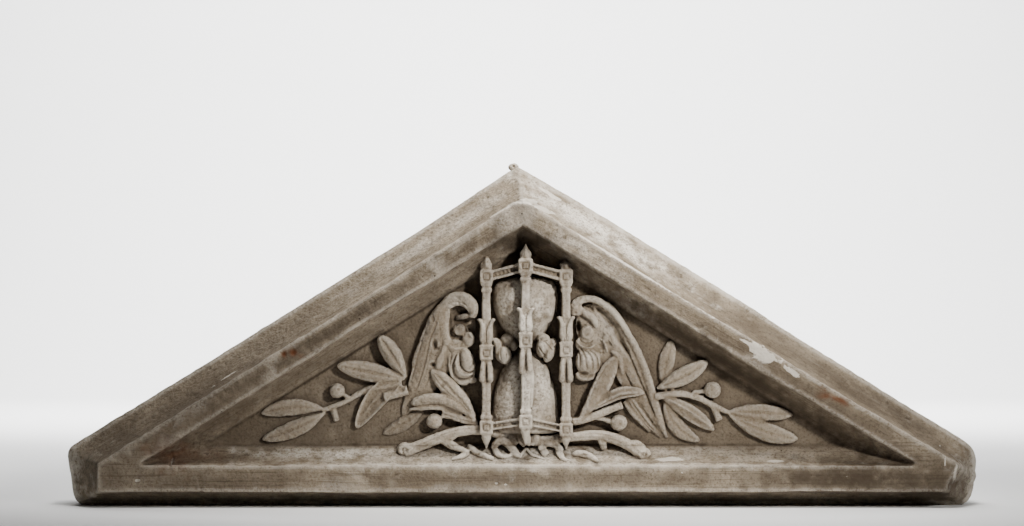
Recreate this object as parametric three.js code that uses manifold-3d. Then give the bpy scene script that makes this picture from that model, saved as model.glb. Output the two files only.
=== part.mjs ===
/*
 * Pediment section: a low gabled block cast in one piece. A flat band follows the gable, a hollow
 * moulding sweeps from it out to the edge of the block and another sweeps in to a sunk triangular
 * panel. The panel carries a winged hourglass in a three-post frame, an olive spray on either side,
 * two lopped branches and a ribbon.
 *
 * Millimetres. X runs to the right along the base, Z up, and the front faces -Y.
 * The origin is the middle of the underside.
 */
import * as THREE from 'three';
import { mergeVertices } from 'three/addons/utils/BufferGeometryUtils.js';
import Module from 'manifold-3d';

const wasm = await Module();
wasm.setup();

// Driving dimensions of the block

const BLOCK = {
  halfWidth: 600, // half the length of the base, out to the ends
  shoulder: 73, // height of the short upright ends
  apex: 447, // height of the ridge
  lean: 7, // how far the ridge wanders to the left between the band and the back
  depth: 160, // front band to flat back
  footInset: 10, // how far the ends lean in at the foot
  worn: 12, // how much of each corner at the ends is worn off
};
const OUTER_COVE = {
  depth: 70, // how far the hollow moulding runs back from the band
  rake: 41, // its width along the slopes
  end: 51, // its width at the upright ends
  foot: 21, // its height under the band
};
const BAND = {
  rake: 27.5, // width of the flat band along the slopes
  foot: 34, // its height along the base
  worn: 3, // how much of its corners is worn off
};
const RECESS = {
  depth: 50, // band to panel
  step: 4, // small upright step between the hollow moulding and the panel
  width: 24, // width of the hollow moulding round the panel
};
const COVE_STEPS = 5;
const COVE_HOLLOW = 1.7; // 1 is a plain chamfer, more is hollower

const FRONT_Y = -BLOCK.depth / 2;
const BACK_Y = BLOCK.depth / 2;
const PITCH = Math.atan2(BLOCK.apex - BLOCK.shoulder, BLOCK.halfWidth);

// Solids

/** Turns a closed geometry into a solid that can be joined and cut. */
function solid(geometry) {
  const bare = geometry.clone();
  bare.deleteAttribute('normal');
  bare.deleteAttribute('uv');
  const merged = mergeVertices(bare, 1e-4);
  return new wasm.Manifold(new wasm.Mesh({
    numProp: 3,
    vertProperties: new Float32Array(merged.attributes.position.array),
    triVerts: new Uint32Array(merged.index.array),
  }));
}

/** Turns a solid back into a geometry. */
function geometryOf(body) {
  const mesh = body.getMesh();
  const geometry = new THREE.BufferGeometry();
  geometry.setAttribute('position', new THREE.BufferAttribute(mesh.vertProperties, 3));
  geometry.setIndex(new THREE.BufferAttribute(mesh.triVerts, 1));
  geometry.computeVertexNormals();
  return geometry;
}

/**
 * A closed geometry through rings with equally many points, with both ends closed by a fan.
 * Each ring runs counter-clockwise as seen from the last ring, looking back at the first.
 */
function loft(rings) {
  const count = rings[0].length;
  const points = rings.flat();
  const index = [];
  for (let r = 0; r + 1 < rings.length; r++) {
    for (let i = 0; i < count; i++) {
      const a = r * count + i;
      const b = r * count + (i + 1) % count;
      index.push(a, b, b + count, a, b + count, a + count);
    }
  }
  const middle = (ring) => ring.reduce((sum, p) => sum.add(p), new THREE.Vector3())
    .divideScalar(ring.length);
  const first = points.push(middle(rings[0])) - 1;
  const last = points.push(middle(rings.at(-1))) - 1;
  const top = (rings.length - 1) * count;
  for (let i = 0; i < count; i++) {
    const next = (i + 1) % count;
    index.push(first, next, i, last, top + i, top + next);
  }
  const geometry = new THREE.BufferGeometry().setFromPoints(points);
  geometry.setIndex(index);
  return geometry;
}

/** Linear interpolation along a list of values, with t from 0 to 1. */
function along(values, t) {
  const place = THREE.MathUtils.clamp(t, 0, 1) * (values.length - 1);
  const i = Math.min(Math.floor(place), values.length - 2);
  return values.length === 1 ? values[0] : THREE.MathUtils.lerp(values[i], values[i + 1], place - i);
}

// The block: gable outlines and hollow mouldings

/** Gable outline at a share of the way from the block's edge, 0, to the edge of the band, 1. */
function gable(inward) {
  const half = BLOCK.halfWidth - OUTER_COVE.end * inward;
  const foot = OUTER_COVE.foot * inward;
  const inset = BLOCK.footInset * (1 - inward);
  const worn = THREE.MathUtils.lerp(BLOCK.worn, BAND.worn, inward);
  const apex = BLOCK.apex - (OUTER_COVE.rake * inward) / Math.cos(PITCH);
  const shoulder = apex - half * Math.tan(PITCH);
  const right = [[half - inset - worn, foot], [half - inset, foot + worn], [half, shoulder - worn],
    [half - worn * Math.cos(PITCH), shoulder + worn * Math.sin(PITCH)]];
  const left = right.map(([x, z]) => [-x, z]).reverse();
  return [...right, [-BLOCK.lean * (1 - inward), apex], ...left];
}

/** Triangle set in from the block's edge by its own distance on the slopes and foot. */
function triangle({ rake, foot }) {
  const apex = BLOCK.apex - rake / Math.cos(PITCH);
  const half = (apex - foot) / Math.tan(PITCH);
  return [[-half, foot], [half, foot], [0, apex]];
}

const ringAt = (outline, y) => outline.map(([x, z]) => new THREE.Vector3(x, y, z));

/** The whole gabled block with its outer hollow moulding, before the panel is sunk. */
function gabledBlock() {
  const rings = [ringAt(gable(0), BACK_Y)];
  for (let i = COVE_STEPS; i >= 0; i--) {
    const depth = i / COVE_STEPS;
    rings.push(ringAt(gable(1 - depth ** COVE_HOLLOW), FRONT_Y + OUTER_COVE.depth * depth));
  }
  return solid(loft(rings));
}

const OPENING = { rake: OUTER_COVE.rake + BAND.rake, foot: OUTER_COVE.foot + BAND.foot };
const PANEL = { rake: OPENING.rake + RECESS.width, foot: OPENING.foot + RECESS.width };
const PANEL_Y = FRONT_Y + RECESS.depth;

/** The space of the sunk panel: a hollow moulding all round, then a small upright step. */
function panelSpace() {
  const coveDepth = RECESS.depth - RECESS.step;
  const rings = [ringAt(triangle(PANEL), PANEL_Y)];
  for (let i = COVE_STEPS; i >= 0; i--) {
    const inward = RECESS.width * (i / COVE_STEPS) ** COVE_HOLLOW;
    const outline = triangle({ rake: OPENING.rake + inward, foot: OPENING.foot + inward });
    rings.push(ringAt(outline, FRONT_Y + coveDepth * (i / COVE_STEPS)));
  }
  rings.push(ringAt(triangle(OPENING), FRONT_Y - RECESS.step));
  return solid(loft(rings));
}

// Carving tools. The carving is drawn for a panel of the size below, as [x, z, lift], where lift is
// the height above the panel, and is stretched to the width, height and depth of the real one.
// Every form runs down from its lift into the panel, as a cast form must to leave its mould.

const DRAWN_PANEL = { foot: 79, apex: 338, half: 415.5, depth: 50 };
const SINK = 3; // how far the forms are rooted in the panel

const [, [panelHalf], [, panelApex]] = triangle(PANEL);
const toPanel = new THREE.Matrix4().makeTranslation(0, PANEL_Y, PANEL.foot)
  .scale(new THREE.Vector3(
    panelHalf / DRAWN_PANEL.half,
    RECESS.depth / DRAWN_PANEL.depth,
    (panelApex - PANEL.foot) / (DRAWN_PANEL.apex - DRAWN_PANEL.foot),
  ))
  .multiply(new THREE.Matrix4().makeTranslation(0, 0, -DRAWN_PANEL.foot));

const carving = (geometry) => solid(geometry.applyMatrix4(toPanel));

const OUT = new THREE.Vector3(0, -1, 0);

/** Sweeps an upper outline, [across, height above the line], along drawn points. */
function sweep(points, steps, outlineAt) {
  const places = points.map(([x, z, lift]) => new THREE.Vector3(x, -lift, z));
  const curve = new THREE.CatmullRomCurve3(places, false, 'centripetal');
  const rings = [];
  for (let s = 0; s <= steps; s++) {
    const at = curve.getPoint(s / steps);
    const side = new THREE.Vector3().crossVectors(OUT, curve.getTangent(s / steps)).normalize();
    const outline = outlineAt(s / steps).map(([across, height]) => [across, height - at.y]);
    const [first, last] = [outline[0], outline.at(-1)];
    outline.push([last[0], -SINK], [first[0], -SINK]);
    rings.push(outline.map(([across, height]) => new THREE.Vector3(at.x, 0, at.z)
      .addScaledVector(side, across).addScaledVector(OUT, height)));
  }
  return carving(loft(rings));
}

/**
 * A ridge along drawn points with its half width at each. Its crown swells above the drawn line,
 * or sinks below it where it is negative.
 */
function ridge({ spine, halves, crown, arcs = 4, steps = 6 }) {
  return sweep(spine, steps, (t) => {
    const half = along(halves, t);
    const swell = along(crown, t);
    return Array.from({ length: arcs + 1 }, (_, k) => {
      const turn = (Math.PI * k) / arcs;
      return [half * Math.cos(turn), swell * Math.sin(turn)];
    });
  });
}

/** A round-backed stem, twig, curl or branch along drawn points, with its radius at each. */
function stem({ points, radii, arcs = 3, steps = points.length * 2 - 3 }) {
  return ridge({ spine: points, halves: radii, crown: radii, arcs, steps });
}

/** Half widths of an olive leaf from its stalk to its blunt tip. */
const leafHalves = (width) => [0.14, 0.62, 0.94, 1, 0.9, 0.62, 0.14].map((s) => (s * width) / 2);

/** One olive leaf from base to tip; bow moves its middle sideways, in x and z. */
function leaf({ base, tip, width, bow = [0, 0], edge = [5, 5], crown = 5 }) {
  const middle = [0, 1].map((i) => (base[i] + tip[i]) / 2 + bow[i]);
  const spine = [[...base, edge[0]], [...middle, (edge[0] + edge[1]) / 2], [...tip, edge[1]]];
  return ridge({ spine, halves: leafHalves(width), crown: [1, crown, crown, 0.5] });
}

const DOME = { rings: 3, sides: 9 };

/** A rounded boss with its half width, half height and swell, turned in the plane of the panel. */
function boss({ place: [x, z, lift], radii: [half, upright, swell], turn = 0 }) {
  const profile = [new THREE.Vector2(0, -SINK), new THREE.Vector2(1, -SINK)];
  for (let i = 0; i < DOME.rings; i++) {
    const rise = (Math.PI / 2) * (i / DOME.rings);
    profile.push(new THREE.Vector2(Math.cos(rise), lift + swell * Math.sin(rise)));
  }
  profile.push(new THREE.Vector2(0, lift + swell));
  const geometry = new THREE.LatheGeometry(profile, DOME.sides);
  geometry.rotateX(Math.PI);
  geometry.scale(half, 1, upright);
  geometry.rotateY(turn);
  geometry.translate(x, 0, z);
  return carving(geometry);
}

const berry = ({ place, radius }) => boss({ place, radii: [radius, radius, radius] });

// Olive sprays

const SPRAY_LEAVES = [
  { base: [-152, 168], tip: [-187, 223], width: 23, bow: [-1, 3], edge: [9, 12], crown: 8 },
  { base: [-154, 166], tip: [-242, 184], width: 24, edge: [9, 9], crown: 8 },
  { base: [-158, 161], tip: [-217, 102], width: 26, bow: [1, 15], edge: [12, 5], crown: -3 },
  { base: [-261, 127], tip: [-341, 121], width: 21, bow: [0, 5], edge: [5, 4], crown: 4 },
  { base: [-258, 122], tip: [-340, 87], width: 21, bow: [2, -3], edge: [5, 5], crown: 4 },
  { base: [-127, 128], tip: [-182, 95], width: 18, bow: [0, -3], edge: [1.5, 1.5], crown: 2 },
  { base: [182, 160], tip: [195, 217], width: 21, edge: [3, 4], crown: 3 },
  { base: [175, 154], tip: [241, 189], width: 22, bow: [1, -2], edge: [8, 10], crown: 6 },
  { base: [182, 143], tip: [250, 99], width: 19, bow: [1, 2], edge: [8, 6], crown: 6 },
  { base: [186, 139], tip: [232, 85], width: 20, bow: [-9, -6], edge: [3, 4], crown: 3 },
  { base: [268, 124], tip: [353, 119], width: 20, bow: [0, 1], edge: [5, 5], crown: 4 },
  { base: [270, 119], tip: [359, 88], width: 23, bow: [2, -6], edge: [5, 6], crown: 4 },
];
const SPRAY_STEMS = [
  { points: [[-160, 161, 8], [-205, 151, 6], [-231, 137, 6], [-262, 125, 4]], radii: [4, 4, 3.5, 3] },
  { points: [[-214, 144, 5], [-226, 142, 7], [-236, 147, 8]], radii: [2.5, 2.5, 2.5] },
  { points: [[-247, 126, 3], [-243, 112, 3]], radii: [4, 4] },
  { points: [[-150, 151, 8], [-181, 143, 8]], radii: [6.5, 5.5] },
  { points: [[172, 143, 8], [205, 147, 8], [231, 141, 7], [250, 131, 6], [272, 121, 4]],
    radii: [5, 4.5, 4, 4, 3] },
  { points: [[222, 149, 6], [234, 150, 8], [243, 151, 9]], radii: [2.5, 2.5, 2.5] },
  { points: [[250, 129, 5], [257, 112, 6]], radii: [4, 4.5] },
];
const SPRAY_BERRIES = [
  { place: [-242, 151, 9], radius: 9.5 },
  { place: [248, 152, 10], radius: 10.5 },
];

// Sprigs crossed at the foot of the hourglass

const SPRIG_LEAVES = [
  { base: [-61, 112], tip: [-119, 183], width: 22, bow: [6, 2], edge: [14, 20], crown: 6 },
  { base: [-62, 112], tip: [-151, 129], width: 23, bow: [4, 13], edge: [16, 16], crown: 7 },
  { base: [75, 112], tip: [128, 194], width: 24, bow: [-2, -1], edge: [12, 17], crown: 4 },
  { base: [78, 115], tip: [158, 147], width: 21, bow: [-3, 10], edge: [14, 18], crown: 5 },
];
const SPRIG_STEMS = [
  { points: [[-58, 109, 14], [-81, 113, 15], [-106, 122, 16]], radii: [5, 4.5, 4.5] },
  { points: [[-86, 114, 13], [-97, 113, 13], [-108, 114, 12]], radii: [3, 3, 3] },
  { points: [[64, 109, 14], [85, 113, 15], [104, 122, 16], [130, 131, 15]], radii: [5, 5, 5, 4.5] },
  { points: [[98, 119, 13], [110, 117, 13], [119, 112, 12]], radii: [3, 3, 3.5] },
];
const SPRIG_BERRIES = [
  { place: [-115, 110, 11], radius: 10.5 },
  { place: [125, 109, 11], radius: 11.5 },
];

// Lopped branches and ribbon on the sill

const BRANCHES = [
  { points: [[4, 91, 12], [-29, 95, 16], [-62, 100, 22], [-94, 95, 27], [-120, 84, 31], [-154, 73, 35]],
    radii: [6, 6.5, 7, 8, 9, 9.5] },
  { points: [[-104, 88, 28], [-90, 78, 30], [-76, 73, 32]], radii: [7, 5.5, 3.5] },
  { points: [[-4, 88, 12], [23, 87, 15], [68, 91, 22], [100, 93, 27], [126, 86, 30], [146, 76, 34],
    [161, 67, 38]], radii: [6, 6.5, 7, 8, 8, 8.5, 9] },
  { points: [[104, 88, 28], [107, 77, 30]], radii: [5, 5] },
];
const RIBBON = [
  { points: [[-43, 68, 40], [-40, 83, 34], [-29, 88, 32], [-19, 80, 36], [-8, 66, 44]],
    radii: [3, 4, 4.5, 4.5, 3] },
  { points: [[-40, 80, 34], [-34, 73, 38], [-28, 66, 43]], radii: [3, 3.5, 2] },
  { points: [[24, 66, 42], [26, 78, 36], [36, 81, 34], [45, 76, 36], [47, 65, 42], [57, 58, 46]],
    radii: [3, 4, 4, 4.5, 3.5, 2] },
  { points: [[-70, 77, 34], [-58, 70, 38], [-36, 63, 43]], radii: [4, 5, 4] },
  { points: [[-90, 62, 44], [-78, 65, 42], [-68, 72, 37]], radii: [3, 4.5, 4] },
  { points: [[66, 66, 42], [80, 66, 41], [98, 61, 44]], radii: [3.5, 5, 3] },
];
const KNOT = [
  { place: [-11, 90, 18], radii: [8, 13, 12] },
  { place: [17, 88, 18], radii: [7, 11, 11] },
];

// Winged hourglass

const GLASS = {
  axis: 3.5, // x of the glass and of the middle post
  postGap: 52, // middle post to side post
  flat: 0.62, // depth of the bulbs as a share of their width
  upper: { middle: 272, half: 43.5, top: 46, bottom: 64 },
  lower: [[207, 6], [201, 12], [192, 21], [180, 30], [165, 36], [145, 41], [120, 44], [98, 45]],
  turns: 16,
};

/** A solid turned about the axis of the glass, flattened towards the panel. */
function bulb(profile) {
  const closed = [[profile[0][0], 0], ...profile, [profile.at(-1)[0], 0]];
  const points = closed.map(([z, radius]) => new THREE.Vector2(radius, z)).reverse();
  const geometry = new THREE.LatheGeometry(points, GLASS.turns);
  geometry.rotateX(Math.PI / 2);
  geometry.scale(1, GLASS.flat, 1);
  geometry.translate(GLASS.axis, 0, 0);
  return carving(geometry);
}

/** Profile of the upper bulb, an egg with its narrow end down. */
function upperProfile(steps = 9) {
  const { middle, half, top, bottom } = GLASS.upper;
  return Array.from({ length: steps - 1 }, (_, i) => {
    const turn = (Math.PI * (i + 1)) / steps;
    const rise = Math.cos(turn);
    return [middle + rise * (rise > 0 ? top : bottom), half * Math.sin(turn) ** 0.9];
  });
}

/** One post of the frame through [z, half width, ahead] stations, square with eased corners. */
function post(x, stations, front) {
  const rings = stations.map(([z, half, ahead]) => {
    const corner = half * 0.3;
    const face = -front - ahead;
    const outline = [[half, SINK], [-half, SINK], [-half, face + corner], [-half + corner, face],
      [half - corner, face], [half, face + corner]];
    return outline.map(([across, y]) => new THREE.Vector3(x + across, y, z));
  });
  return carving(loft(rings));
}

/**
 * Stations of a post from its hanging finial to its pointed one, as [z, half width, how far it
 * stands in front]. The heights are those of the turned and carved parts of each post.
 */
function postStations({ drop, foot, sheathFoot, middle, sheathTop, head, tip }) {
  return [
    [drop, 0.5, -9], [drop + 7, 3, -3], [foot - 9, 6, 0], [foot - 8, 8, 2], [foot + 7, 8.5, 3],
    [foot + 8, 7, 1], [foot + 12, 7, 1], [foot + 13, 5.5, -1],
    [sheathFoot, 6, -1], [sheathFoot + 1, 8.5, 2], [middle - 10, 7, 1], [middle - 9, 8.5, 3],
    [middle + 8, 8.5, 3], [middle + 9, 7, 1], [sheathTop - 6, 8.5, 2], [sheathTop, 7, 1],
    [sheathTop + 1, 6, -1], [head - 19, 5.3, -1], [head - 18, 7, 1], [head - 11, 7, 1],
    [head - 10, 8.5, 3], [head + 8, 8.5, 3], [head + 9, 5.5, 0], [head + 16, 7.5, 0], [tip, 0.5, -9],
  ];
}

const RAIL_CHANNEL = 2;
const POSTS = [
  { x: GLASS.axis - GLASS.postGap, front: 27,
    heights: { drop: 76, foot: 104, sheathFoot: 166, middle: 201, sheathTop: 242, head: 300, tip: 330 } },
  { x: GLASS.axis + GLASS.postGap + 1, front: 27,
    heights: { drop: 74, foot: 101, sheathFoot: 166, middle: 204, sheathTop: 244, head: 301, tip: 326 } },
  { x: GLASS.axis, front: 42,
    heights: { drop: 80, foot: 113, sheathFoot: 176, middle: 216, sheathTop: 254, head: 313, tip: 341 } },
];

/** The leaf tips that curl away from both sides of a post, at the sheath above its middle. */
function sheathCurls({ x, front, heights }) {
  return [-1, 1].map((hand) => stem({
    points: [[x + hand * 4, heights.sheathTop - 14, front], [x + hand * 6, heights.sheathTop - 2, front],
      [x + hand * 10, heights.sheathTop + 3, front]],
    radii: [3, 2.8, 2.4],
    steps: 3,
  }));
}

/** The turned-out ends of the leaves that hang below the middle of a post. */
function hangingCurls({ x, front, heights }) {
  return [-1, 1].map((hand) => stem({
    points: [[x + hand * 4, heights.middle - 12, front - 2], [x + hand * 5, heights.sheathFoot + 6, front],
      [x + hand * 7, heights.sheathFoot - 2, front]],
    radii: [4, 4.6, 3.4],
    steps: 3,
  }));
}

/** A channelled rail from the middle post to a side post, at the same named height of both. */
function rail(side, level, drop, half) {
  const middle = POSTS[2];
  const from = [middle.x, middle.heights[level] + drop, middle.front - 8];
  const to = [side.x, side.heights[level] + drop, side.front - 4];
  const fillet = half * 0.45;
  return sweep([from, to], 1, () => [[half, 0], [fillet, 0], [fillet, -RAIL_CHANNEL],
    [-fillet, -RAIL_CHANNEL], [-fillet, 0], [-half, 0]]);
}

function hourglass() {
  const parts = [bulb(upperProfile()), bulb(GLASS.lower)];
  for (const item of POSTS) {
    parts.push(post(item.x, postStations(item.heights), item.front));
    parts.push(...sheathCurls(item), ...hangingCurls(item));
  }
  for (const side of POSTS.slice(0, 2)) {
    parts.push(rail(side, 'head', -1, 6.5), rail(side, 'foot', 0, 5.5));
  }
  return parts;
}

// Wings, which spring from behind the hourglass and hook over at the top

const LEFT_WING = {
  edge: { points: [[-67, 238, 20], [-61, 253, 22], [-66, 266, 23], [-79, 273, 22], [-93, 269, 20],
    [-107, 257, 16], [-122, 237, 13], [-137, 212, 11], [-147, 183, 9], [-154, 152, 7], [-165, 112, 3]],
  radii: [7, 9, 10, 10, 10, 9, 8, 7, 6, 5, 3], steps: 18 },
  feathers: [
    { spine: [[-106, 262, 9], [-121, 232, 9], [-134, 196, 8], [-145, 158, 6], [-161, 116, 3]],
      halves: [4, 11, 12, 11, 3], crown: [2, 5, 5, 5, 2] },
    { spine: [[-104, 244, 10], [-115, 214, 11], [-127, 180, 9], [-138, 148, 7], [-150, 124, 4]],
      halves: [4, 10, 12, 11, 4], crown: [2, 5, 5, 4, 2] },
    { spine: [[-98, 232, 11], [-104, 206, 13], [-113, 178, 11], [-124, 146, 8], [-134, 130, 6]],
      halves: [5, 10, 12, 10, 5], crown: [3, 6, 5, 4, 2] },
  ],
  curls: [
    { points: [[-90, 247, 12], [-79, 252, 14], [-68, 250, 12]], radii: [4, 5, 4] },
    { points: [[-72, 238, 12], [-73, 226, 17], [-66, 212, 19]], radii: [3, 6, 6.5] },
    { points: [[-80, 206, 20], [-92, 188, 20], [-86, 170, 22], [-72, 167, 22], [-62, 177, 20]],
      radii: [6, 6, 6, 6, 4] },
    { points: [[-98, 196, 14], [-101, 178, 15], [-92, 162, 16], [-78, 157, 16]], radii: [5, 5, 5, 4] },
    { points: [[-76, 158, 13], [-62, 168, 12]], radii: [5, 4] },
  ],
  bosses: [
    { place: [-84, 225, 8], radii: [12, 12, 10] },
    { place: [-86, 202, 10], radii: [20, 12, 12] },
    { place: [-73, 187, 16], radii: [9, 15, 13], turn: 0.2 },
  ],
};
const RIGHT_WING = {
  edge: { points: [[79, 244, 16], [68, 253, 20], [67, 265, 22], [78, 272, 22], [93, 273, 20],
    [108, 265, 17], [127, 247, 15], [142, 222, 14], [154, 196, 12], [164, 171, 11], [172, 148, 10],
    [180, 122, 8], [190, 92, 4]],
  radii: [5, 6.5, 7, 7, 7, 7, 7, 6.5, 6.5, 6, 6, 5.5, 3], steps: 18 },
  feathers: [
    { spine: [[112, 254, 5], [127, 228, 6], [140, 198, 8], [152, 164, 8], [166, 130, 6], [188, 92, 3]],
      halves: [4, 11, 11, 11, 10, 3], crown: [1, 3, 4, 5, 4, 2] },
    { spine: [[114, 224, 9], [124, 200, 10], [136, 170, 8], [150, 134, 7], [176, 90, 3]],
      halves: [4, 9, 10, 10, 3], crown: [2, 4, 5, 5, 2] },
    { spine: [[118, 196, 8], [128, 170, 7], [141, 138, 6], [154, 112, 5], [172, 89, 2]],
      halves: [8, 12, 11, 9, 3], crown: [3, 5, 4, 4, 2] },
    { spine: [[98, 222, 10], [110, 200, 11], [118, 178, 9]], halves: [5, 10, 9], crown: [3, 5, 3] },
  ],
  curls: [
    { points: [[73, 258, 16], [82, 251, 18], [95, 237, 17], [98, 229, 14]], radii: [4, 6, 6, 4] },
    { points: [[70, 218, 14], [76, 210, 16], [88, 209, 16], [96, 217, 15]], radii: [4, 4.5, 4.5, 4] },
    { points: [[98, 219, 15], [107, 211, 16], [112, 199, 15]], radii: [4, 4.5, 3] },
    { points: [[68, 178, 14], [76, 165, 15], [88, 163, 15], [97, 172, 14]], radii: [3.5, 4, 4, 4] },
  ],
  bosses: [
    { place: [83, 226, 9], radii: [12, 13, 9] },
    { place: [84, 191, 10], radii: [18, 17, 15] },
    { place: [99, 184, 10], radii: [9, 17, 11] },
  ],
};
const BUDS = [
  { place: [-23, 196, 14], radii: [11, 13, 14] },
  { place: [-25, 219, 8], radii: [11, 11, 10] },
  { place: [29, 208, 12], radii: [12, 19, 14], turn: 0.35 },
];

function wing({ edge, feathers, curls, bosses }) {
  return [
    stem(edge),
    ...feathers.map(ridge),
    ...curls.map(stem),
    ...bosses.map(boss),
  ];
}

// Lump left at the ridge, a little to the left of the point

const RIDGE_LUMP = { x: -12, y: -4, above: 5.5, radius: 5.5 };

function ridgeLump() {
  const geometry = new THREE.DodecahedronGeometry(RIDGE_LUMP.radius);
  const slope = BLOCK.apex - Math.abs(RIDGE_LUMP.x) * Math.tan(PITCH);
  geometry.translate(RIDGE_LUMP.x, RIDGE_LUMP.y, slope + RIDGE_LUMP.above);
  return solid(geometry);
}

// Assembly

const relief = [
  ...[...SPRAY_LEAVES, ...SPRIG_LEAVES].map(leaf),
  ...[...SPRAY_STEMS, ...SPRIG_STEMS, ...BRANCHES, ...RIBBON].map(stem),
  ...[...SPRAY_BERRIES, ...SPRIG_BERRIES].map(berry),
  ...[...KNOT, ...BUDS].map(boss),
  ...hourglass(),
  ...wing(LEFT_WING),
  ...wing(RIGHT_WING),
];
const carved = [...relief, ridgeLump()]
  .reduce((whole, part) => whole.add(part), gabledBlock().subtract(panelSpace()));

const stone = new THREE.MeshStandardMaterial({ color: 0x9a8f80, roughness: 0.92, metalness: 0 });
const pediment = new THREE.Mesh(geometryOf(carved), stone);
pediment.name = 'pediment';

const model = new THREE.Group();
model.add(pediment);

export default model;
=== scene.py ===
"""Pediment section cast in stone: a gabled block with hollow mouldings round a carved panel.

Lengths are millimetres until a mesh is made. The carving is drawn as rows that start with
x, z and lift, where lift is the height above the panel, and the front faces -Y.
"""

import logging
import math
from dataclasses import dataclass, field
from enum import Enum

import bpy
import numpy as np
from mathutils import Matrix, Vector
from mathutils.bvhtree import BVHTree


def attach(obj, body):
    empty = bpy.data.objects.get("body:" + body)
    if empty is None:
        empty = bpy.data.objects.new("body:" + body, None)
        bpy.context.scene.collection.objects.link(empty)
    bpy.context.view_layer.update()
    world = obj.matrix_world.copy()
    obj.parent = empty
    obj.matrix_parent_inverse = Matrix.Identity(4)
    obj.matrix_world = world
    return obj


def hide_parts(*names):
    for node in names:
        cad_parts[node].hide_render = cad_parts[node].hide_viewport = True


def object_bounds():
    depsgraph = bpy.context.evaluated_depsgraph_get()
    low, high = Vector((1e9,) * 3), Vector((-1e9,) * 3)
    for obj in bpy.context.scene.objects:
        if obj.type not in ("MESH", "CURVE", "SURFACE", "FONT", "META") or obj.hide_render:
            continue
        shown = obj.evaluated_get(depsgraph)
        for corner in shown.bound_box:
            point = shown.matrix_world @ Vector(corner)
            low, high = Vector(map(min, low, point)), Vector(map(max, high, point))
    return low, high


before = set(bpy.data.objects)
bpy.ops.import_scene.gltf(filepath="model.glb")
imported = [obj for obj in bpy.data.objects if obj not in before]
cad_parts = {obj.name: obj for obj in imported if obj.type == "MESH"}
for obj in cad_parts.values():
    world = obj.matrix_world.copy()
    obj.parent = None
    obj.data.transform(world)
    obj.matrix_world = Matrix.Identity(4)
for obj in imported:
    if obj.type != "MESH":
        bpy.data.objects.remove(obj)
CAD_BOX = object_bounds()

LOG = logging.getLogger("pediment")
NODE = "pediment"
MM = 0.001
TRIANGLES = 190_000  # the most that one piece is left with
Rows = list[tuple[float, ...]]
Pair = tuple[float, float]
Triple = tuple[float, float, float]
Socket = bpy.types.NodeSocket


# Noise and lines


def scramble(cells: np.ndarray, seed: int) -> np.ndarray:
    """A steady random number from -1 to 1 for each lattice cell.

    Args:
        cells: whole-numbered lattice places, one row each.
        seed: picks one of many lattices.

    Returns:
        One number for each row.
    """
    mixed = np.full(len(cells), seed * 0x9E3779B1 & 0xFFFFFFFF, dtype=np.uint64)
    for column, prime in zip(cells.T, (0x85EBCA6B, 0xC2B2AE35, 0x27D4EB2F)):
        mixed ^= (column.astype(np.int64) & 0xFFFFFFFF).astype(np.uint64) * np.uint64(prime)
        mixed &= np.uint64(0xFFFFFFFF)
        mixed ^= mixed >> np.uint64(15)
        mixed = mixed * np.uint64(0x2C1B3C6D) & np.uint64(0xFFFFFFFF)
        mixed ^= mixed >> np.uint64(12)
    return mixed.astype(np.float64) / 0x7FFFFFFF - 1.0


def noise(places: np.ndarray, size: float, seed: int) -> np.ndarray:
    """Smooth random swell over space.

    Args:
        places: points in millimetres.
        size: spacing of the swells in millimetres.
        seed: picks one of many patterns.

    Returns:
        A number from -1 to 1 for each point.
    """
    scaled = places / size
    corner = np.floor(scaled)
    rest = scaled - corner
    rest = rest * rest * (3.0 - 2.0 * rest)
    total = np.zeros(len(places))
    for bits in range(2 ** places.shape[1]):
        step = np.array([bits >> k & 1 for k in range(places.shape[1])])
        weight = np.prod(np.where(step == 1, rest, 1.0 - rest), axis=1)
        total += weight * scramble(corner + step, seed)
    return total


def swells(places: np.ndarray, layers: tuple[Pair, ...], seed: int) -> np.ndarray:
    """Sum of several random swells, each given by its height and its spacing in millimetres."""
    return sum(height * noise(places, size, seed + k) for k, (height, size) in enumerate(layers))


def spline(rows: Rows, count: int) -> np.ndarray:
    """Smooth line through drawn rows, evenly stepped along its length in the panel.

    Args:
        rows: x, z and any further values at each drawn point.
        count: how many steps to return.

    Returns:
        One row of the same values for each step.
    """
    knots = np.array(rows, dtype=float)
    gaps = np.sqrt(np.linalg.norm(np.diff(knots[:, :2], axis=0), axis=1))
    at = np.concatenate([[0.0], np.cumsum(np.maximum(gaps, 1e-3))])
    slopes = np.gradient(knots, at, axis=0)
    fine = np.linspace(0.0, at[-1], count * 6)
    i = np.clip(np.searchsorted(at, fine, side="right") - 1, 0, len(at) - 2)
    span = (at[i + 1] - at[i])[:, None]
    s = (fine - at[i])[:, None] / span
    line = (
        (1 + 2 * s) * (1 - s) ** 2 * knots[i]
        + s * (1 - s) ** 2 * span * slopes[i]
        + s * s * (3 - 2 * s) * knots[i + 1]
        + s * s * (s - 1) * span * slopes[i + 1]
    )
    run = np.concatenate([[0.0], np.cumsum(np.linalg.norm(np.diff(line[:, :2], axis=0), axis=1))])
    even = np.linspace(0.0, run[-1], count)
    return np.stack([np.interp(even, run, line[:, k]) for k in range(line.shape[1])], axis=1)


def bump(away: np.ndarray) -> np.ndarray:
    """A soft mound, 1 in the middle and 0 from a distance of 1 outwards."""
    return np.clip(1.0 - away * away, 0.0, 1.0) ** 2


# The block's sizes


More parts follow.
